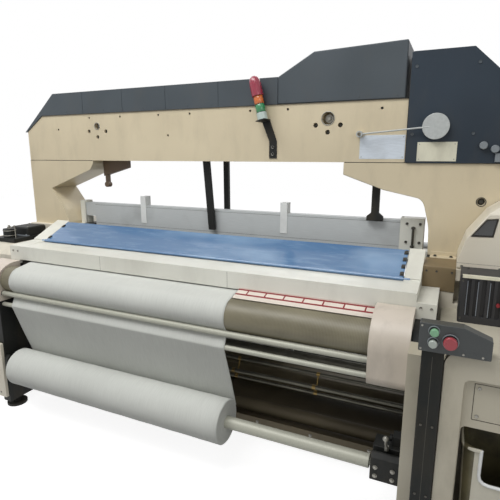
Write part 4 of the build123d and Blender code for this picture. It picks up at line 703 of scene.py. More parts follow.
def woundRoll(name, node, inner, finish):
    # layers stepped in and out at both ends, and a skin that is not quite even
    low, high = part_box(node)
    centre = (low + high) / 2
    outer = (high.z - low.z) / 2
    wound = outer - rolls["edgeRound"] - inner
    reaches = [inner + wound * layer / rolls["layers"] for layer in range(rolls["layers"] + 1)]
    leftEnd = [(low.x + random.uniform(0.0, rolls["stagger"]), reach) for reach in reaches]
    rightEnd = [(high.x - random.uniform(0.0, rolls["stagger"]), reach) for reach in reversed(reaches)]
    skin = [(low.x + rolls["edgeRound"], outer)]
    for step in range(1, rolls["skinSteps"]):
        dip = rolls["ripple"] * (1 + math.sin(step * rolls["waves"]))
        skin.append((low.x + (high.x - low.x) * step / rolls["skinSteps"], outer - dip))
    skin.append((high.x - rolls["edgeRound"], outer))
    mesh = bmesh.new()
    uv = mesh.loops.layers.uv.new("UVMap")
    profile = [(across, centre.y, centre.z + reach) for across, reach in leftEnd + skin + rightEnd]
    turned(mesh, profile + profile[:1], centre, (1.0, 0.0, 0.0), rolls["around"])
    for face in mesh.faces:
        for loop in face.loops:
            place = loop.vert.co - centre
            reach = math.hypot(place.y, place.z)
            loop[uv].uv = (place.x + outer - reach, math.atan2(place.z, place.y) * outer)
    made = settle(name, mesh, finish, bodyOf[node], 50.0)
    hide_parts(node)


for name, node, core, finish in (
        ("clothRollWound", "cloth_roll", "cloth_roll_core", "cloth"),
        ("warpWound", "warp_yarn", "warp_beam", "yarn")):
    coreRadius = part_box(core)[1].z - centreOf(core).z
    woundRoll(name, node, coreRadius + rolls["clearance"], finish)


threads = {"count": 280, "width": 0.0011, "thick": 0.0005}


@dressed("yarn", "warp_sheet")
def warpThreads(mesh):
    # warp ends from the cloth's edge through the reed and the healds
    pitch = (clothHigh.x - clothLow.x) / threads["count"]
    for index in range(threads["count"]):
        across = clothLow.x + pitch * (index + 0.5)
        slab(mesh, (across - threads["width"] / 2, clothHigh.y, warpLine - threads["thick"] / 2),
             (across + threads["width"] / 2, warpLow.y, warpLine + threads["thick"] / 2))


print("cloth and warp made")


# Arch: joint lines, drive holes, screws, bare plates and lamp fittings

archTrim = {
    "seam": 0.0016, "proud": 0.0007, "headLine": 1.892,
    "holeGroups": [(-1.072, 1.791, 0.023, 0.074), (0.540, 1.791, 0.036, 0.068)],
    "screws": [
        (-1.432, 1.775), (-1.138, 1.847), (-0.870, 1.847), (-0.563, 1.847), (-0.494, 1.720), (-0.330, 1.847),
        (0.080, 1.847), (0.310, 1.847), (0.820, 1.833)],
    "legBolts": [(1.315, 1.375), (1.393, 1.359)],
    "silverPlate": ((0.716, 1.578), (0.944, 1.699)), "creamPlate": ((1.004, 1.568), (1.186, 1.661)),
    "plateThick": 0.0012, "rivet": 0.0028,
    "stripScrews": [(0.225, 1.604), (0.225, 1.642)],
    "knobs": [(1.299, 1.643), (1.349, 1.626)],
    "lampFoot": (0.181, -0.048, 1.790), "lampLean": 14, "lampRings": [0.042, 0.088, 0.134], "ringRadius": 0.0276,
}
archLow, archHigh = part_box("arch_beam")
boxLow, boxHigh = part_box("shed_drive_box")


@dressed("seam", "arch_beam")
def legSeams(mesh):
    # dark joint lines where the legs meet the beam; the line under the cover's edge and the strip beside the drive
    # box are painted shadow
    half, proud = archTrim["seam"], archTrim["proud"]
    for node in ("arch_leg_left", "arch_leg_right"):
        low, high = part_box(node)
        slab(mesh, (low.x + 0.004, -proud, high.z - half), (min(high.x, boxHigh.x) - 0.004, 0.0004, high.z + half))
        slab(mesh, (low.x + 0.004, high.y - 0.0004, high.z - half), (high.x - 0.004, high.y + proud, high.z + half))
    # painted shadow under the cover's lower edge
    slab(mesh, (-1.585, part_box("beam_cover")[0].y - 0.0004, archHigh.z - 0.0012), (0.946, 0.0, archHigh.z + 0.0012))
    # painted shadow beside the drive box's left edge
    slab(mesh, (boxLow.x - 0.003, -proud - 0.002, archLow.z), (boxLow.x + 0.0005, 0.0004, boxHigh.z - 0.03))


@dressed("steelDull", "arch_beam", 0.0004)
def drivePorts(mesh):
    # pressed steel liner and a shaft end in each large hole
    for across, up, radius, _ in archTrim["holeGroups"]:
        hoop(mesh, (across, -0.0006, up), toBack, radius - 0.001, 0.0026, 40, 8)
        rod(mesh, (across, 0.052, up), (across, 0.030, up), radius * 0.62, 28)
        rod(mesh, (across, 0.030, up), (across, 0.018, up), radius * 0.30, 6)


@dressed("screw", "arch_beam")
def sunkScrews(mesh):
    for across, up, _, spread in archTrim["holeGroups"]:
        for side, drop in ((-spread, 0.034), (spread, 0.036), (0.0, 0.072)):
            capScrew(mesh, (across + side, 0.020, up - drop), toFront, 0.0095, 0.011)
    heads(mesh, capScrew, toFront, 0.0056, 0.008, onPlane(1, 0.0125, archTrim["screws"]))


@dressed("screw", "arch_leg_right")
def legBolts(mesh):
    for across, up in archTrim["legBolts"]:
        hoop(mesh, (across, -0.0004, up), toBack, 0.021, 0.0022, 32, 8)
        hexBolt(mesh, (across, 0.030, up), toFront, 0.022, 0.014)


def thinPlate(mesh, corners, face):
    (left, low), (right, high) = corners
    slab(mesh, (left, face - archTrim["plateThick"], low), (right, face + 0.0004, high))


def lowHeads(mesh, face, radius, tip, proud, places, sides=14):
    # low round heads, each narrower at its top
    for across, up in places:
        rod(mesh, (across, face + 0.0004, up), (across, face - proud, up), radius, sides, tip)


for tone, node, face in (("silver", "arch_beam", 0.0), ("cream", "shed_drive_box", boxLow.y)):
    corners = archTrim[tone + "Plate"]
    (left, low), (right, high) = corners
    rivets = list(product((left + 0.010, right - 0.010), (low + 0.010, high - 0.010)))
    outer = face - archTrim["plateThick"]
    piece(tone + "Plate", lambda mesh: thinPlate(mesh, corners, face), tone + "Plate", node, 0.0004)
    piece(tone + "Rivets", lambda mesh: lowHeads(
        mesh, outer, archTrim["rivet"], archTrim["rivet"] * 0.6, 0.0012, rivets, 16), "steelDull", node)


@dressed("screw", "call_flag")
def flagNut(mesh):
    hexBolt(mesh, (0.719, -0.047, 1.704), toFront, 0.013, 0.006)


@dressed("knobGrey", "shed_drive_box", 0.001)
def boxKnobs(mesh):
    for across, up in archTrim["knobs"]:
        rod(mesh, (across, boxLow.y + 0.0005, up), (across, boxLow.y - 0.010, up), 0.012, 24)
        rod(mesh, (across, boxLow.y - 0.010, up), (across, boxLow.y - 0.022, up), 0.019, 32, 0.017)
    slab(mesh, (1.352, boxLow.y - 0.014, 1.566), (1.380, boxLow.y + 0.0005, 1.606))


@dressed("slate", "beam_cover")
def coverScrews(mesh):
    # low heads along the lower edge of the cover and the cowl, and cap screws on the drive box
    coverLow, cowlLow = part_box("beam_cover")[0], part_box("raised_cowl")[0]
    line = archTrim["headLine"]
    coverRow = [(coverLow.x + 0.26 + step * 0.166, line) for step in range(11)]
    cowlRow = [(across, line) for across in (0.30, 0.50, 0.70, 0.89)]
    for face, row in ((coverLow.y, coverRow), (cowlLow.y, cowlRow)):
        lowHeads(mesh, face, 0.0046, 0.0034, 0.0016, row)
    boxHeads = [(0.975, 1.70), (0.975, 2.02), (1.25, 1.70), (1.25, 2.02), (1.52, 1.70)]
    heads(mesh, capScrew, toFront, 0.0075, 0.004, onPlane(1, boxLow.y + 0.0004, boxHeads))


@dressed("steelDull", "lamp_bracket")
def stripScrews(mesh):
    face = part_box("lamp_bracket")[1].y - 0.005
    heads(mesh, capScrew, toFront, 0.0085, 0.005, onPlane(1, face, archTrim["stripScrews"]))


@dressed("seam", "lamp_base")
def lampRings(mesh):
    # black gaskets between the lenses, square to the leaning stack
    lean = math.radians(archTrim["lampLean"])
    axis = Vector((-math.sin(lean), 0.0, math.cos(lean)))
    for reach in archTrim["lampRings"]:
        hoop(mesh, Vector(archTrim["lampFoot"]) + axis * reach, axis, archTrim["ringRadius"], 0.0011, 48, 6)


print("arch trimmed")


# Healds and reed: white guide tabs, wire healds, rail lines and end fittings

healdTrim = {
    "tabs": [-0.810, 0.250], "tabWidth": 0.0452, "tabLow": 1.1235, "railTop": 1.248, "tabHigh": 1.3128,
    "tabProud": 0.003, "cover": 0.0008, "wires": 230, "wireWidth": 0.0012, "wireThick": 0.001,
    "wireLow": 0.816, "wireHigh": 1.084, "left": -1.236, "right": 0.928,
    "lines": [(1.234, 0.0007), (1.100, 0.0007), (1.0812, 0.0012)], "dents": 450, "dentWidth": 0.0008,
}


def guideTabs(mesh, low, high):
    # white plate in front of the rail and a block over it
    cover = healdTrim["cover"]
    for across in healdTrim["tabs"]:
        left, right = across - healdTrim["tabWidth"] / 2, across + healdTrim["tabWidth"] / 2
        face = low.y + healdTrim["tabProud"] - 0.0002
        slab(mesh, (left, low.y - cover, healdTrim["tabLow"]), (right, face, healdTrim["tabHigh"]))
        slab(mesh, (left, low.y - cover / 2, healdTrim["railTop"]), (right, high.y + cover, healdTrim["tabHigh"]))


def wireHealds(mesh, low, high):
    # flat wires from rail to rail
    middle, half = (low.y + healdTrim["tabProud"] + high.y) / 2, healdTrim["wireThick"] / 2
    pitch = (healdTrim["right"] - healdTrim["left"]) / healdTrim["wires"]
    for index in range(healdTrim["wires"]):
        across = healdTrim["left"] + pitch * (index + 0.25)
        slab(mesh, (across, middle - half, healdTrim["wireLow"]),
             (across + healdTrim["wireWidth"], middle + half, healdTrim["wireHigh"]))


def railLines(mesh, low, _):
    # two extruded lines along the top rail and a shadow line at its lower edge
    front = low.y + healdTrim["tabProud"]
    left, right = healdTrim["left"] - 0.02, healdTrim["right"] + 0.02
    for up, half in healdTrim["lines"]:
        slab(mesh, (left, front - 0.0004, up - half), (right, front + 0.0004, up + half))


for index in range(1, 5):
    frameNode = "heald_frame_" + str(index)
    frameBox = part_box(frameNode)
    for shape, finish, bevel, slot in (
            (guideTabs, "whiteTab", 0.0006, "pale_plastic"), (wireHealds, "steelDull", 0.0, None),
            (railLines, "seam", 0.0, None)):
        piece(shape.__name__ + str(index), lambda mesh: shape(mesh, *frameBox), finish, frameNode, bevel)


@dressed("screw", "heald_frame_guides", 0.0004)
def endBoxFittings(mesh):
    # cap screws and a latch pin on the end box
    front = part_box("heald_frame_guides")[0].y
    spots = product((0.972, 1.040), (1.232, 1.130))
    heads(mesh, capScrew, toFront, 0.0075, 0.005, onPlane(1, front + 0.0004, spots))
    rod(mesh, (1.006, front - 0.010, 1.100), (1.006, front - 0.010, 1.218), 0.006, 20)
    for up in (1.108, 1.210):
        slab(mesh, (0.996, front - 0.018, up - 0.005), (1.016, front + 0.0004, up + 0.005))


@dressed("steelDull", "reed")
def reedWires(mesh):
    # fine dents between the baulks
    low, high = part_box("reed")
    half = healdTrim["dentWidth"] / 2
    pitch = (high.x - low.x - 0.02) / healdTrim["dents"]
    for index in range(healdTrim["dents"]):
        across = low.x + 0.01 + pitch * (index + 0.5)
        slab(mesh, (across - half, low.y + 0.002, low.z + 0.010), (across + half, high.y - 0.002, high.z - 0.010))


print("healds and reed trimmed")


# Breast cover: inspection strip under it, clips, seams and end screws

coverTrim = {
    "stripLeft": 0.268, "stripRight": 0.926, "stripBack": (-0.5408, 0.9535), "stripFront": (-0.6190, 0.9300),
    "stripThick": 0.0018, "lip": 0.007, "lines": (0.08, 0.56), "lineWidth": 0.011, "ticks": 7, "tickWidth": 0.007,
    "clips": [(1.010, (-0.335, -0.285, -0.235, -0.185)), (-1.230, (-0.330, -0.210))], "guardSlope": 24.7,
    "seams": [-0.62, 0.20], "screws": [(-1.33, 1.005), (-1.29, 1.005), (1.108, 0.975), (1.150, 0.975)],
    "hinges": [-1.10, -0.55, 0.0, 0.55, 0.88], "hingeReach": 0.030, "hingePin": 0.0042,
}
stripLeft, stripRight = coverTrim["stripLeft"], coverTrim["stripRight"]
stripBack, stripFront = Vector(coverTrim["stripBack"]), Vector(coverTrim["stripFront"])
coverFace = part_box("breast_cover")[0].y


def along(share, lift):
    # a place on the strip, from its back edge to its front edge
    slope = (stripFront - stripBack).normalized()
    return stripBack.lerp(stripFront, share) + Vector((slope.y, -slope.x)) * lift


def stripBand(mesh, left, right, start, end, low, high):
    corners = [along(start, low), along(end, low), along(end, high), along(start, high)]
    outlined(mesh, [(left, corner.x, corner.y) for corner in corners], (right - left, 0.0, 0.0))


@dressed("stripCream", "breast_cover", 0.0004)
def inspectionStrip(mesh):
    stripBand(mesh, stripLeft, stripRight, 0.0, 1.0, -coverTrim["stripThick"], 0.0)
    slab(mesh, (stripLeft, stripBack.x - 0.0016, stripBack.y - 0.002),
         (stripRight, stripBack.x + 0.0007, stripBack.y + coverTrim["lip"]))


@dressed("stripRed", "breast_cover")
def stripMarks(mesh):
    # two long lines and short ticks between them
    half = coverTrim["lineWidth"] / 2 / (stripBack - stripFront).length
    for share in coverTrim["lines"]:
        stripBand(mesh, stripLeft, stripRight, share - half, share + half, -0.0004, 0.0005)
    first, last = coverTrim["lines"]
    reach = coverTrim["tickWidth"] / 2
    for index in range(coverTrim["ticks"]):
        across = stripLeft + (stripRight - stripLeft) * (index + 0.6) / coverTrim["ticks"]
        stripBand(mesh, across - reach, across + reach, first, last, -0.0004, 0.0004)


@dressed("screw", "splash_guard", 0.0008)
def guardClips(mesh):
    # dark spring clips along the ends of the clear guard, laid on its slope
    turn = Matrix.Rotation(math.radians(coverTrim["guardSlope"]), 4, "X")
    for across, places in coverTrim["clips"]:
        for back in places:
            seat = Matrix.Translation(onFace("splash_guard", (across, back, 1.4), (0, 0, -1))) @ turn
            leaf = slab(mesh, (-0.014, -0.013, -0.001), (0.0035, 0.013, 0.0045))
            leaf += slab(mesh, (-0.007, -0.0095, 0.004), (0.0035, 0.0095, 0.009))
            bmesh.ops.transform(mesh, matrix=seat, verts=leaf)


@dressed("seam", "breast_cover")
def coverSeams(mesh):
    # folded joints in the long face and in the rim
    for across in coverTrim["seams"]:
        slab(mesh, (across - 0.0006, coverFace - 0.0004, 0.951), (across + 0.0006, coverFace + 0.0004, 1.032))


@dressed("steelDull", "breast_cover")
def coverScrewHeads(mesh):
    heads(mesh, capScrew, toFront, 0.006, 0.004, onPlane(1, coverFace + 0.0004, coverTrim["screws"]))


@dressed("steelDull", "splash_guard")
def guardHinge(mesh):
    # hinge leaves along the front edge of the clear guard
    reach = coverTrim["hingeReach"]
    for across in coverTrim["hinges"]:
        rod(mesh, (across - reach, -0.3605, 1.0475), (across + reach, -0.3605, 1.0475), coverTrim["hingePin"], 16)


print("breast cover trimmed")


# Right side: housing window, vented box, leg foot, console and cabinet fittings

rightTrim = {
    "window": [(1.2800, 1.2450), (1.3350, 1.3200), (1.3765, 1.3250), (1.3640, 1.2480)], "windowFace": -0.2475,
    "sealFace": -0.2558, "sealBead": 0.0024,
    "housingScrews": [(1.252, 1.105), (1.405, 1.105), (1.565, 1.105), (1.565, 1.330), (1.420, 1.345)],
    "strips": [1.2785, 1.3190, 1.3630], "stripHalf": 0.0013, "redSpot": (1.397, 0.991),
    "buttons": [(1.174, 1.028, 0.0166), (1.174, 0.988, 0.0166), (1.226, 0.998, 0.0246)],
    "consoleScrews": [(1.136, 1.043), (1.136, 0.961), (1.268, 0.961), (1.325, 0.961)],
    "footPlate": [
        ((1.0895, -0.2652, 1.0884), (1.2304, -0.0602, 1.0914)),
        ((1.0895, -0.2652, 0.9800), (1.2306, -0.2615, 1.0886))],
    "footFlange": [
        ((1.1060, -0.0062, 1.0898), (1.2304, 0.0006, 1.1130)),
        ((1.1060, -0.0600, 1.0898), (1.2304, 0.0006, 1.0945))],
    "bead": 0.006, "door": ((1.722, 0.145), (1.925, 0.845)), "servicePlate": ((1.315, 0.712), (1.690, 0.845)),
    "endPanel": ((-0.800, 0.150), (-0.320, 0.860)), "backPanel": ((1.250, 0.140), (1.900, 0.850)),
}
ventLow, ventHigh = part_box("vented_box")


# dark pane in the housing's opening: its colour is painted shade of the hollow behind it
@dressed("shadePane", "upper_housing", 0.0004)
def housingGlass(mesh):
    outlined(mesh, onPlane(1, rightTrim["windowFace"], rightTrim["window"]), (0.0, 0.0018, 0.0))


@dressed("seam", "upper_housing")
def housingSeal(mesh):
    # rubber bead round the window and a joint line round the cover
    corners = onPlane(1, rightTrim["sealFace"], rightTrim["window"])
    bentRod(mesh, corners + corners[:2], rightTrim["sealBead"], 8)
    slab(mesh, (1.2308, -0.2564, 1.1195), (1.5912, -0.0038, 1.1205))


@dressed("steelDull", "upper_housing", 0.0004)
def housingScrews(mesh):
    heads(mesh, capScrew, toFront, 0.0065, 0.004, onPlane(1, -0.2556, rightTrim["housingScrews"]))


@dressed("louvreHighlight", "vented_box", 0.0003)
def ventStrips(mesh):
    # bright louvre edges, a painted highlight
    half = rightTrim["stripHalf"]
    for across in rightTrim["strips"]:
        slab(mesh, (across - half, -0.4313, 0.935), (across + half, -0.4195, 1.082))


@dressed("creamPlate", "vented_box", 0.0004)
def ventLip(mesh):
    left, right, front, top = ventLow.x + 0.006, ventHigh.x - 0.006, ventLow.y - 0.0012, ventHigh.z + 0.0008
    slab(mesh, (left, front, ventHigh.z - 0.010), (right, ventLow.y + 0.0004, top))
    slab(mesh, (left, front, ventHigh.z - 0.0004), (right, ventLow.y + 0.022, top))


@dressed("stripRed", "vented_box", 0.0006)
def ventSpot(mesh):
    across, up = rightTrim["redSpot"]
    rod(mesh, (across, -0.4195, up), (across, -0.4365, up), 0.0085, 24, 0.0070)


@dressed("screw", "vented_box", 0.0003)
def ventScrews(mesh):
    front = product((ventLow.x + 0.010, ventHigh.x - 0.010), (ventLow.z + 0.020, ventHigh.z - 0.022))
    heads(mesh, capScrew, toFront, 0.0045, 0.003, onPlane(1, ventLow.y + 0.0004, front))
    top = product((ventLow.x + 0.030, ventHigh.x - 0.030), (-0.400, -0.290))
    heads(mesh, capScrew, toTop, 0.0055, 0.0035, onPlane(2, ventHigh.z - 0.0004, top))


@dressed("pocketShadeBrown", "right_side_frame", 0.0008)
def footPlate(mesh):
    # brown cover folded over the step of the frame; its brown is painted shade of the frame's pocket
    for low, high in rightTrim["footPlate"]:
        slab(mesh, low, high)


@dressed("beige", "arch_leg_right", 0.0010)
def footFlange(mesh):
    for low, high in rightTrim["footFlange"]:
        slab(mesh, low, high)


@dressed("screw", "right_gear_case", 0.0003)
def footScrews(mesh):
    heads(mesh, hexBolt, toTop, 0.013, 0.008, [(1.130, -0.032, 1.0943), (1.205, -0.032, 1.0943)])
    heads(mesh, capScrew, toFront, 0.005, 0.003, [(across, -0.2650, 1.072) for across in (1.106, 1.150, 1.215)])


@dressed("knobGrey", "control_panel")
def consoleCollars(mesh):
    for across, up, radius in rightTrim["buttons"]:
        hoop(mesh, (across, -0.9254, up), toBack, radius, 0.0021, 32, 8)


@dressed("steelDull", "control_panel", 0.0002)
def consoleScrews(mesh):
    heads(mesh, capScrew, toFront, 0.0036, 0.002, onPlane(1, -0.9246, rightTrim["consoleScrews"]))


@dressed("screw", "control_column")
def columnTrim(mesh):
    # cover joint down the middle and its screws
    slab(mesh, (1.1752, -0.9124, 0.075), (1.1764, -0.9116, 0.930))
    heads(mesh, capScrew, toFront, 0.0045, 0.0025, onPlane(1, -0.9118, product((1.157, 1.195), (0.11, 0.39, 0.67))))


@dressed("seam", "right_cabinet")
def cabinetSeams(mesh):
    # door, service plate, deck joints and the end panel
    for name, axis, face, half, lift in (
            ("door", 1, -0.8752, 0.0009, 0.0006), ("servicePlate", 1, -0.8752, 0.0009, 0.0006),
            ("endPanel", 0, 2.0, 0.0010, 0.0005), ("backPanel", 1, -0.262, 0.0010, 0.0005)):
        ruled(mesh, rightTrim[name], face, axis, half, lift)
    for across in (1.46, 1.74):
        slab(mesh, (across - 0.0008, -0.848, 0.9515), (across + 0.0008, -0.4305, 0.9525))


@dressed("steelDull", "right_cabinet", 0.0004)
def cabinetScrews(mesh):
    heads(mesh, capScrew, toFront, 0.006, 0.0035, onPlane(1, -0.8748, product((1.330, 1.675), (0.727, 0.830))))
    heads(mesh, capScrew, toRight, 0.0065, 0.004, onPlane(0, 1.9996, product((-0.780, -0.340), (0.170, 0.840))))
    heads(mesh, capScrew, toBack, 0.0065, 0.004, onPlane(1, -0.2624, product((1.270, 1.880), (0.160, 0.830))))


@dressed("steelDull", "right_cabinet", 0.0006)
def doorFittings(mesh):
    # two hinge barrels and a bow handle
    for up in (0.230, 0.760):
        rod(mesh, (1.925, -0.8785, up - 0.028), (1.925, -0.8785, up + 0.028), 0.0058, 18)
    bow = [(1.748, -0.8745, 0.44), (1.748, -0.8965, 0.44), (1.748, -0.8965, 0.56), (1.748, -0.8745, 0.56)]
    bentRod(mesh, bow, 0.0055, 14)


@dressed("whiteTab", "waste_bucket")
def bucketBead(mesh):
    # rolled bead round the scoop, drawn as two mirrored halves
    middle = 1.461
    half = [
        (0.103, -0.8712, 0.5985), (0.103, -0.8668, 0.4990), (0.0985, -0.8660, 0.4800), (0.0870, -0.8656, 0.4690),
        (0.0690, -0.8654, 0.4645)]
    path = [(middle - reach, back, up) for reach, back, up in half]
    path += [(middle + reach, back, up) for reach, back, up in reversed(half)]
    bentRod(mesh, path, rightTrim["bead"], 12)


print("right side trimmed")


# Left side: selvedge unit, gear case covers, let-off box and the warp beam

leftTrim = {
    "chestFace": -2.0, "cover": ((-0.330, 0.215), (0.330, 0.905)),
    # place of each joint line on the gear case: a point to look from, the way to look, the corners
    "joints": [
        ((-1.55, -0.90, 0.70), toBack, ((-1.735, 0.560), (-1.395, 0.900))),
        ((-1.88, -0.90, 0.55), toBack, ((-1.940, 0.240), (-1.800, 0.880))),
        ((-1.55, 1.20, 0.70), toFront, ((-1.720, 0.220), (-1.400, 0.290)))],
    "rows": [
        # screws on the covers: radius, height, the way out and the places
        (0.009, 0.005, toLeft, [(-2.0, back, up) for back, up in product((-0.305, 0.0, 0.305), (0.240, 0.560, 0.880))
                                if (back, up) != (0.0, 0.560)]),
        (0.007, 0.004, toFront, onPlane(1, -0.45, product((-1.715, -1.415), (0.580, 0.880)))),
        (0.006, 0.004, toFront, onPlane(1, -0.43, product((-1.925, -1.815), (0.260, 0.860)))),
        (0.006, 0.004, toFront, onPlane(1, -0.735, product((-1.33,), (0.120, 0.420))))],
    "sight": (-1.560, 0.640), "flangeBolts": 8, "boltCircle": 0.150, "rimInset": 0.014, "rimBead": 0.0035,
}
unitLow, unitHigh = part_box("left_selvedge_unit")
flangeLow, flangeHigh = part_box("warp_beam_flanges")
flangeMiddle = (flangeLow + flangeHigh) / 2


def lifted(place, amount):
    return Vector(place) + Vector((0.0, 0.0, amount))


@dressed("steelDull", "left_selvedge_unit")
def selvedgeFittings(mesh):
    # cover screws, spool collar, tension knob and a guide eye on the unit
    lid = product((unitLow.x + 0.030, unitHigh.x - 0.030), (unitHigh.y - 0.035, unitHigh.y - 0.165))
    heads(mesh, capScrew, toTop, 0.006, 0.004, onPlane(2, unitHigh.z - 0.0004, lid))
    spool = Vector(((unitLow.x + unitHigh.x) / 2, unitLow.y + 0.046, unitHigh.z))
    for drop in (0.012, 0.046):
        hoop(mesh, lifted(spool, -drop), toTop, 0.0402, 0.0028, 40, 8)
    rod(mesh, lifted(spool, -0.0004), lifted(spool, 0.012), 0.012, 24)
    rod(mesh, lifted(spool, 0.0118), lifted(spool, 0.024), 0.0075, 6)
    across, back, up = unitHigh.x - 0.020, unitLow.y + 0.030, unitHigh.z + 0.022
    wire = [(across, back, unitLow.z + 0.0275), (across, back, up), (across, unitLow.y - 0.002, up)]
    bentRod(mesh, wire, 0.0032, 12)
    hoop(mesh, (across, unitLow.y - 0.011, up), toRight, 0.010, 0.0022, 24, 8)


@dressed("knobGrey", "left_selvedge_unit", 0.0006)
def selvedgeClamps(mesh):
    # pale clamp bars across the base
    left, right = unitLow.x + 0.012, unitHigh.x - 0.012
    for back in (unitLow.y + 0.112, unitLow.y + 0.128):
        slab(mesh, (left, back, unitLow.z + 0.0276), (right, back + 0.009, unitLow.z + 0.036))
    spots = product((unitLow.x + 0.030, unitHigh.x - 0.030), (unitLow.y + 0.1245,))
    heads(mesh, hexBolt, toTop, 0.010, 0.006, onPlane(2, unitLow.z + 0.0358, spots))


@dressed("seam", "left_gear_case")
def caseSeams(mesh):
    ruled(mesh, leftTrim["cover"], leftTrim["chestFace"] + 0.0002, 0, 0.0012, 0.0006)
    for start, way, corners in leftTrim["joints"]:
        ruled(mesh, corners, onFace("left_gear_case", start, way).y, 1, 0.0010, 0.0006)


@dressed("steelDull", "left_gear_case", 0.0004)
def caseScrews(mesh):
    for radius, height, outward, places in leftTrim["rows"]:
        seated(mesh, capScrew, "left_gear_case", outward, radius, height, places)


@dressed("brass", "left_gear_case", 0.0004)
def caseSight(mesh):
    # oil sight glass ring and filler cap
    across, up = leftTrim["sight"]
    face = onFace("left_gear_case", (-1.55, -0.90, 0.62), toBack).y
    hoop(mesh, (across, face - 0.0010, up), toBack, 0.0240, 0.0032, 40, 8)
    rod(mesh, (across, face + 0.0004, up), (across, face - 0.0030, up), 0.0225, 32)
    top = onFace("left_gear_case", (-1.66, 0.20, 1.40), (0, 0, -1))
    rod(mesh, lifted(top, -0.0004), lifted(top, 0.012), 0.020, 32)
    rod(mesh, lifted(top, 0.0118), lifted(top, 0.022), 0.012, 6)


@dressed("steelDull", "let_off_gearbox", 0.0004)
def letOffBolts(mesh):
    low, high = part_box("let_off_gearbox")
    spots = onPlane(0, low.x, product((low.y + 0.025, high.y - 0.025), (low.z + 0.030, high.z - 0.030)))
    seated(mesh, hexBolt, "let_off_gearbox", toLeft, 0.014, 0.009, spots)
    spots = onPlane(1, high.y, product((-1.505, -1.405), (low.z + 0.050, high.z - 0.050)))
    seated(mesh, hexBolt, "let_off_gearbox", toBack, 0.012, 0.008, spots)


def ringed(centre, radius, count):
    # places on a circle across the X axis
    angles = [2 * math.pi * (index + 0.5) / count for index in range(count)]
    return [centre + Vector((0.0, math.cos(angle), math.sin(angle))) * radius for angle in angles]


@dressed("steelDull", "warp_beam_flanges")
def flangeBolts(mesh):
    # a ring of bolts round each flange's hub, on its outer face
    for face, outward in ((flangeLow.x, toLeft), (flangeHigh.x, toRight)):
        hub = Vector((face, flangeMiddle.y, flangeMiddle.z))
        spots = ringed(hub, leftTrim["boltCircle"], leftTrim["flangeBolts"])
        seated(mesh, hexBolt, "warp_beam_flanges", outward, 0.016, 0.009, spots)


@dressed("steelDull", "warp_beam_flanges")
def flangeRims(mesh):
    # a rolled bead near the edge of each flange
    radius = (flangeHigh.z - flangeLow.z) / 2 - leftTrim["rimInset"]
    for face in (flangeLow.x, flangeHigh.x):
        hoop(mesh, (face, flangeMiddle.y, flangeMiddle.z), toRight, radius, leftTrim["rimBead"], 96, 8)


print("left side trimmed")


# Inside and behind: oil pipes, roll brackets, frame bolts, duct, motor and shaft details

insideTrim = {
    "pipes": [(-0.352, 0.405, 0.011), (-0.318, 0.352, 0.008), (-0.270, 0.440, 0.009)],
    "pipeLeft": -1.2806, "pipeRight": 1.0906, "clips": [-0.80, -0.33, 0.14, 0.61],
    "frameBolts": [(-0.38, 0.185), (0.22, 0.185), (0.22, 0.265), (-0.49, 0.840), (-0.42, 0.840)],
    "pulleyBolts": 4, "pulleyCircle": 0.042, "ductLeft": 0.306, "ductBands": [0.36, 0.60, 0.84, 1.05],
}
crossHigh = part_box("cross_members")[1]
cradleLow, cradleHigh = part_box("cloth_roll_brackets")
motorMiddle = centreOf("drive_motor")
motorTop = onFace("drive_motor", lifted(motorMiddle, 1.0), (0, 0, -1)).z


@dressed("black", "cross_members", 0.0015)
def rearDuct(mesh):
    # closed duct on the rear cross member, beside the warp beam's flange
    right, back, top = crossHigh
    slab(mesh, (insideTrim["ductLeft"], back - 0.066, top - 0.0005), (right + 0.0005, back - 0.006, top + 0.024))
    for across in insideTrim["ductBands"]:
        slab(mesh, (across - 0.011, back - 0.069, top - 0.0005), (across + 0.011, back - 0.003, top + 0.0265))


@dressed("pipe", "cross_members")
def oilPipes(mesh):
    # straight pipes from frame to frame with a flare nut at each end
    left, right = insideTrim["pipeLeft"], insideTrim["pipeRight"]
    for back, up, radius in insideTrim["pipes"]:
        rod(mesh, (left, back, up), (right, back, up), radius, 18)
        for end, inward in ((left, 1), (right, -1)):
            rod(mesh, (end, back, up), (end + inward * 0.016, back, up), radius * 1.9, 6)
            rod(mesh, (end, back, up), (end + inward * 0.022, back, up), radius * 1.4, 18)


@dressed("brass", "cross_members")
def pipeClips(mesh):
    # saddles that tie the pipes together
    for across in insideTrim["clips"]:
        bars = [(across, back, up) for back, up, _ in insideTrim["pipes"]]
        for start, end in zip(bars, bars[1:]):
            rod(mesh, start, end, 0.0045, 10)
        for back, up, radius in insideTrim["pipes"]:
            rod(mesh, (across - 0.009, back, up), (across + 0.009, back, up), radius + 0.0022, 20)


@dressed("steelDull", "cloth_roll_brackets")
def cradleFittings(mesh):
    # keeper bolts, a latch lever and its pin on the black roll cradles
    keepers = product((cradleHigh.x - 0.100, cradleHigh.x - 0.030), (cradleLow.z + 0.022, cradleLow.z + 0.062))
    heads(mesh, hexBolt, toFront, 0.013, 0.008, onPlane(1, cradleLow.y + 0.0004, keepers))
    foot = Vector((cradleHigh.x - 0.064, cradleLow.y + 0.0500, cradleHigh.z))
    rod(mesh, lifted(foot, -0.0004), lifted(foot, 0.020), 0.009, 20)
    lever = ((0, 0, 0.018), (0, -0.040, 0.050), (0, -0.062, 0.088))
    bentRod(mesh, [foot + Vector(step) for step in lever], 0.0055, 14)
    knob = Matrix.Translation(foot + Vector((0, -0.062, 0.092)))
    bmesh.ops.create_icosphere(mesh, subdivisions=3, radius=0.012, matrix=knob)


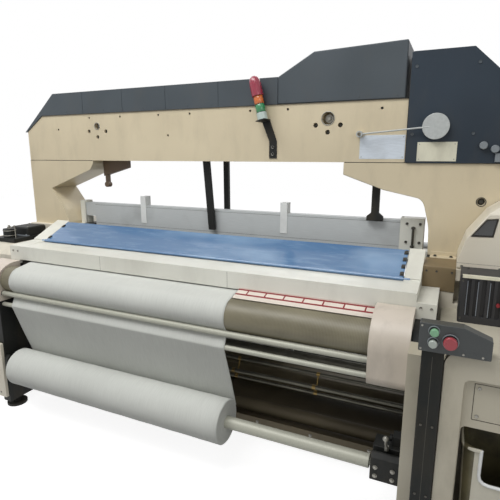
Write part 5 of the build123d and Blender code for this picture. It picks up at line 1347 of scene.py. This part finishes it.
@dressed("black", "cloth_roll_brackets", 0.0015)
def cradleGear(mesh):
    # small ratchet housing on the right cradle
    side, front, top = cradleHigh.x, cradleLow.y, cradleHigh.z
    slab(mesh, (side - 0.046, front + 0.085, top - 0.0004), (side - 0.006, front + 0.140, top + 0.046))
    rod(mesh, (side - 0.048, front + 0.112, top + 0.024), (side - 0.060, front + 0.112, top + 0.024), 0.015, 28)


@dressed("steelDull", "left_side_frame")
def frameBolts(mesh):
    # bolts where the cross members, the back rest and the breast beam meet the frames
    for node, outward, reach in (("left_side_frame", -1, -1.360), ("right_side_frame", 1, 1.170)):
        for back, up in insideTrim["frameBolts"]:
            seat = onFace(node, (reach + outward * 0.01, back, up), (-outward, 0, 0))
            if abs(seat.x - reach) < 0.03:
                hexBolt(mesh, (seat.x - outward * fixing["sink"], back, up), (outward, 0, 0), 0.018, 0.011)


@dressed("darkBox", "drive_motor", 0.0015)
def motorDetails(mesh):
    # terminal box and lifting eye on the motor
    across, back, _ = motorMiddle
    slab(mesh, (across - 0.060, back - 0.045, motorTop - 0.0060), (across + 0.060, back + 0.045, motorTop + 0.038))
    hoop(mesh, (across + 0.110, back, motorTop + 0.008), toBack, 0.016, 0.004, 32, 8)


@dressed("steelDull", "drive_motor")
def motorScrews(mesh):
    across, back, _ = motorMiddle
    spots = product((across - 0.050, across + 0.050), (back - 0.035, back + 0.035))
    heads(mesh, capScrew, toTop, 0.005, 0.003, onPlane(2, motorTop + 0.0376, spots))


@dressed("steelDull", "drive_pulley")
def pulleyBolts(mesh):
    # hub bolts on the main shaft's pulley
    hub = centreOf("drive_pulley")
    hub.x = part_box("drive_pulley")[1].x
    spots = ringed(hub, insideTrim["pulleyCircle"], insideTrim["pulleyBolts"])
    seated(mesh, hexBolt, "drive_pulley", toRight, 0.013, 0.008, spots)


def flangeRow(mesh, node, first, spacing, count, rise, size, height):
    # bolts along the front face of a long node
    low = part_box(node)[0]
    for index in range(count):
        seat = onFace(node, (low.x + first + spacing * index, low.y - 0.05, low.z + rise), toBack)
        hexBolt(mesh, seat + Vector((0, fixing["sink"], 0)), toFront, size, height)


@dressed("steelDull", "breast_beam")
def breastBeamBolts(mesh):
    flangeRow(mesh, "breast_beam", 0.06, 0.25, 10, 0.03, 0.013, 0.008)


@dressed("steelDull", "cross_members")
def crossBolts(mesh):
    flangeRow(mesh, "cross_members", 0.10, 0.30, 8, 0.022, 0.012, 0.007)


print("inside and back trimmed")


# Floor, light and camera

studio = {
    "floorReach": 14.0, "floorGlow": 1.75, "glowShare": 0.5, "skyStrength": 0.30,
    "floorTones": [(0.86, 0.86, 0.86, 1.0), (0.80, 0.80, 0.80, 1.0)], "bounceTone": (0.30, 0.30, 0.30, 1.0),
    "lamps": {
        # place, the point it faces, size in metres and power
        "key": ((-1.0, -2.3, 5.0), (-0.1, -0.3, 1.0), (4.2, 2.0), 190.0),
        "fill": ((5.0, -4.2, 3.0), (0.3, 0.0, 1.0), (3.5, 3.0), 60.0),
        "back": ((0.0, 5.5, 5.0), (0.0, 0.0, 1.0), (5.0, 3.0), 80.0),
    },
}
view = {
    "place": (1.2, -2.45, 1.6), "right": (0.90930, 0.41614, 0.0), "ahead": (-0.40703, 0.88940, -0.20808),
    "lens": 32.256, "sensor": 36.0, "farthest": 200.0,
}


def seenDirectly(tree):
    # 1 for what the camera, a mirror or clear sheet shows, 0 for what lights the object
    path = tree.nodes.new("ShaderNodeLightPath").outputs
    kinds = ("Camera", "Glossy", "Transmission")
    camera, glossy, through = [Value(tree, path["Is " + kind + " Ray"]) for kind in kinds]
    return (camera + glossy + through).clamped()


def paleGround():
    # white to the camera where it is lit, and it keeps the object's shadow
    ground = Finish("paleGround")
    seen = seenDirectly(ground.tree)
    lit = ground.blend(ground.noise(0.6, 2.0) * 0.06, *studio["floorTones"])
    tone = ground.blend(seen, studio["bounceTone"], lit)
    ground.set(BaseColor=tone, Roughness=0.9)
    glow = ground.node("ShaderNodeEmission", {}, {"Strength": studio["floorGlow"]})
    share = seen * studio["glowShare"]
    mix = ground.node("ShaderNodeMixShader", {}, {0: share, 1: ground.shader.outputs[0], 2: glow.outputs[0]})
    ground.tree.links.new(mix.outputs[0], ground.output.inputs[0])
    return ground.material


def buildStage():
    mesh = bmesh.new()
    bmesh.ops.create_grid(mesh, x_segments=8, y_segments=8, size=studio["floorReach"])
    data = bpy.data.meshes.new("floor")
    mesh.to_mesh(data)
    mesh.free()
    data.materials.append(paleGround())
    floor = bpy.data.objects.new("floor", data)
    bpy.context.scene.collection.objects.link(floor)
    world = bpy.data.worlds.new("studioSky")
    bpy.context.scene.world = world
    world.use_nodes = True
    tree = world.node_tree
    tree.nodes.clear()
    output = tree.nodes.new("ShaderNodeOutputWorld")
    pick = tree.nodes.new("ShaderNodeMixShader")
    link(tree, seenDirectly(tree), pick.inputs[0])
    for socket, strength in ((1, studio["skyStrength"]), (2, 1.0)):
        sky = tree.nodes.new("ShaderNodeBackground")
        sky.inputs["Color"].default_value = (1.0, 1.0, 1.0, 1.0)
        sky.inputs["Strength"].default_value = strength
        tree.links.new(sky.outputs[0], pick.inputs[socket])
    tree.links.new(pick.outputs[0], output.inputs[0])


def softLamp(name, place, target, size, power):
    data = bpy.data.lights.new(name, "AREA")
    data.shape = "RECTANGLE"
    data.size, data.size_y = size
    data.energy = power
    lamp = bpy.data.objects.new(name, data)
    lamp.location = place
    lamp.rotation_euler = (Vector(target) - Vector(place)).to_track_quat("-Z", "Y").to_euler()
    bpy.context.scene.collection.objects.link(lamp)


def setCamera():
    ahead = Vector(view["ahead"]).normalized()
    right = Vector(view["right"]).normalized()
    upward = right.cross(ahead)
    data = bpy.data.cameras.new("viewCamera")
    data.sensor_width = view["sensor"]
    data.lens = view["lens"]
    data.clip_end = view["farthest"]
    camera = bpy.data.objects.new("viewCamera", data)
    turn = Matrix((right, upward, -ahead)).transposed()
    camera.matrix_world = Matrix.Translation(view["place"]) @ turn.to_4x4()
    bpy.context.scene.collection.objects.link(camera)
    bpy.context.scene.camera = camera


buildStage()
for name, (place, target, size, power) in studio["lamps"].items():
    softLamp(name, place, target, size, power)
setCamera()
bpy.context.scene.view_settings.view_transform = "Standard"
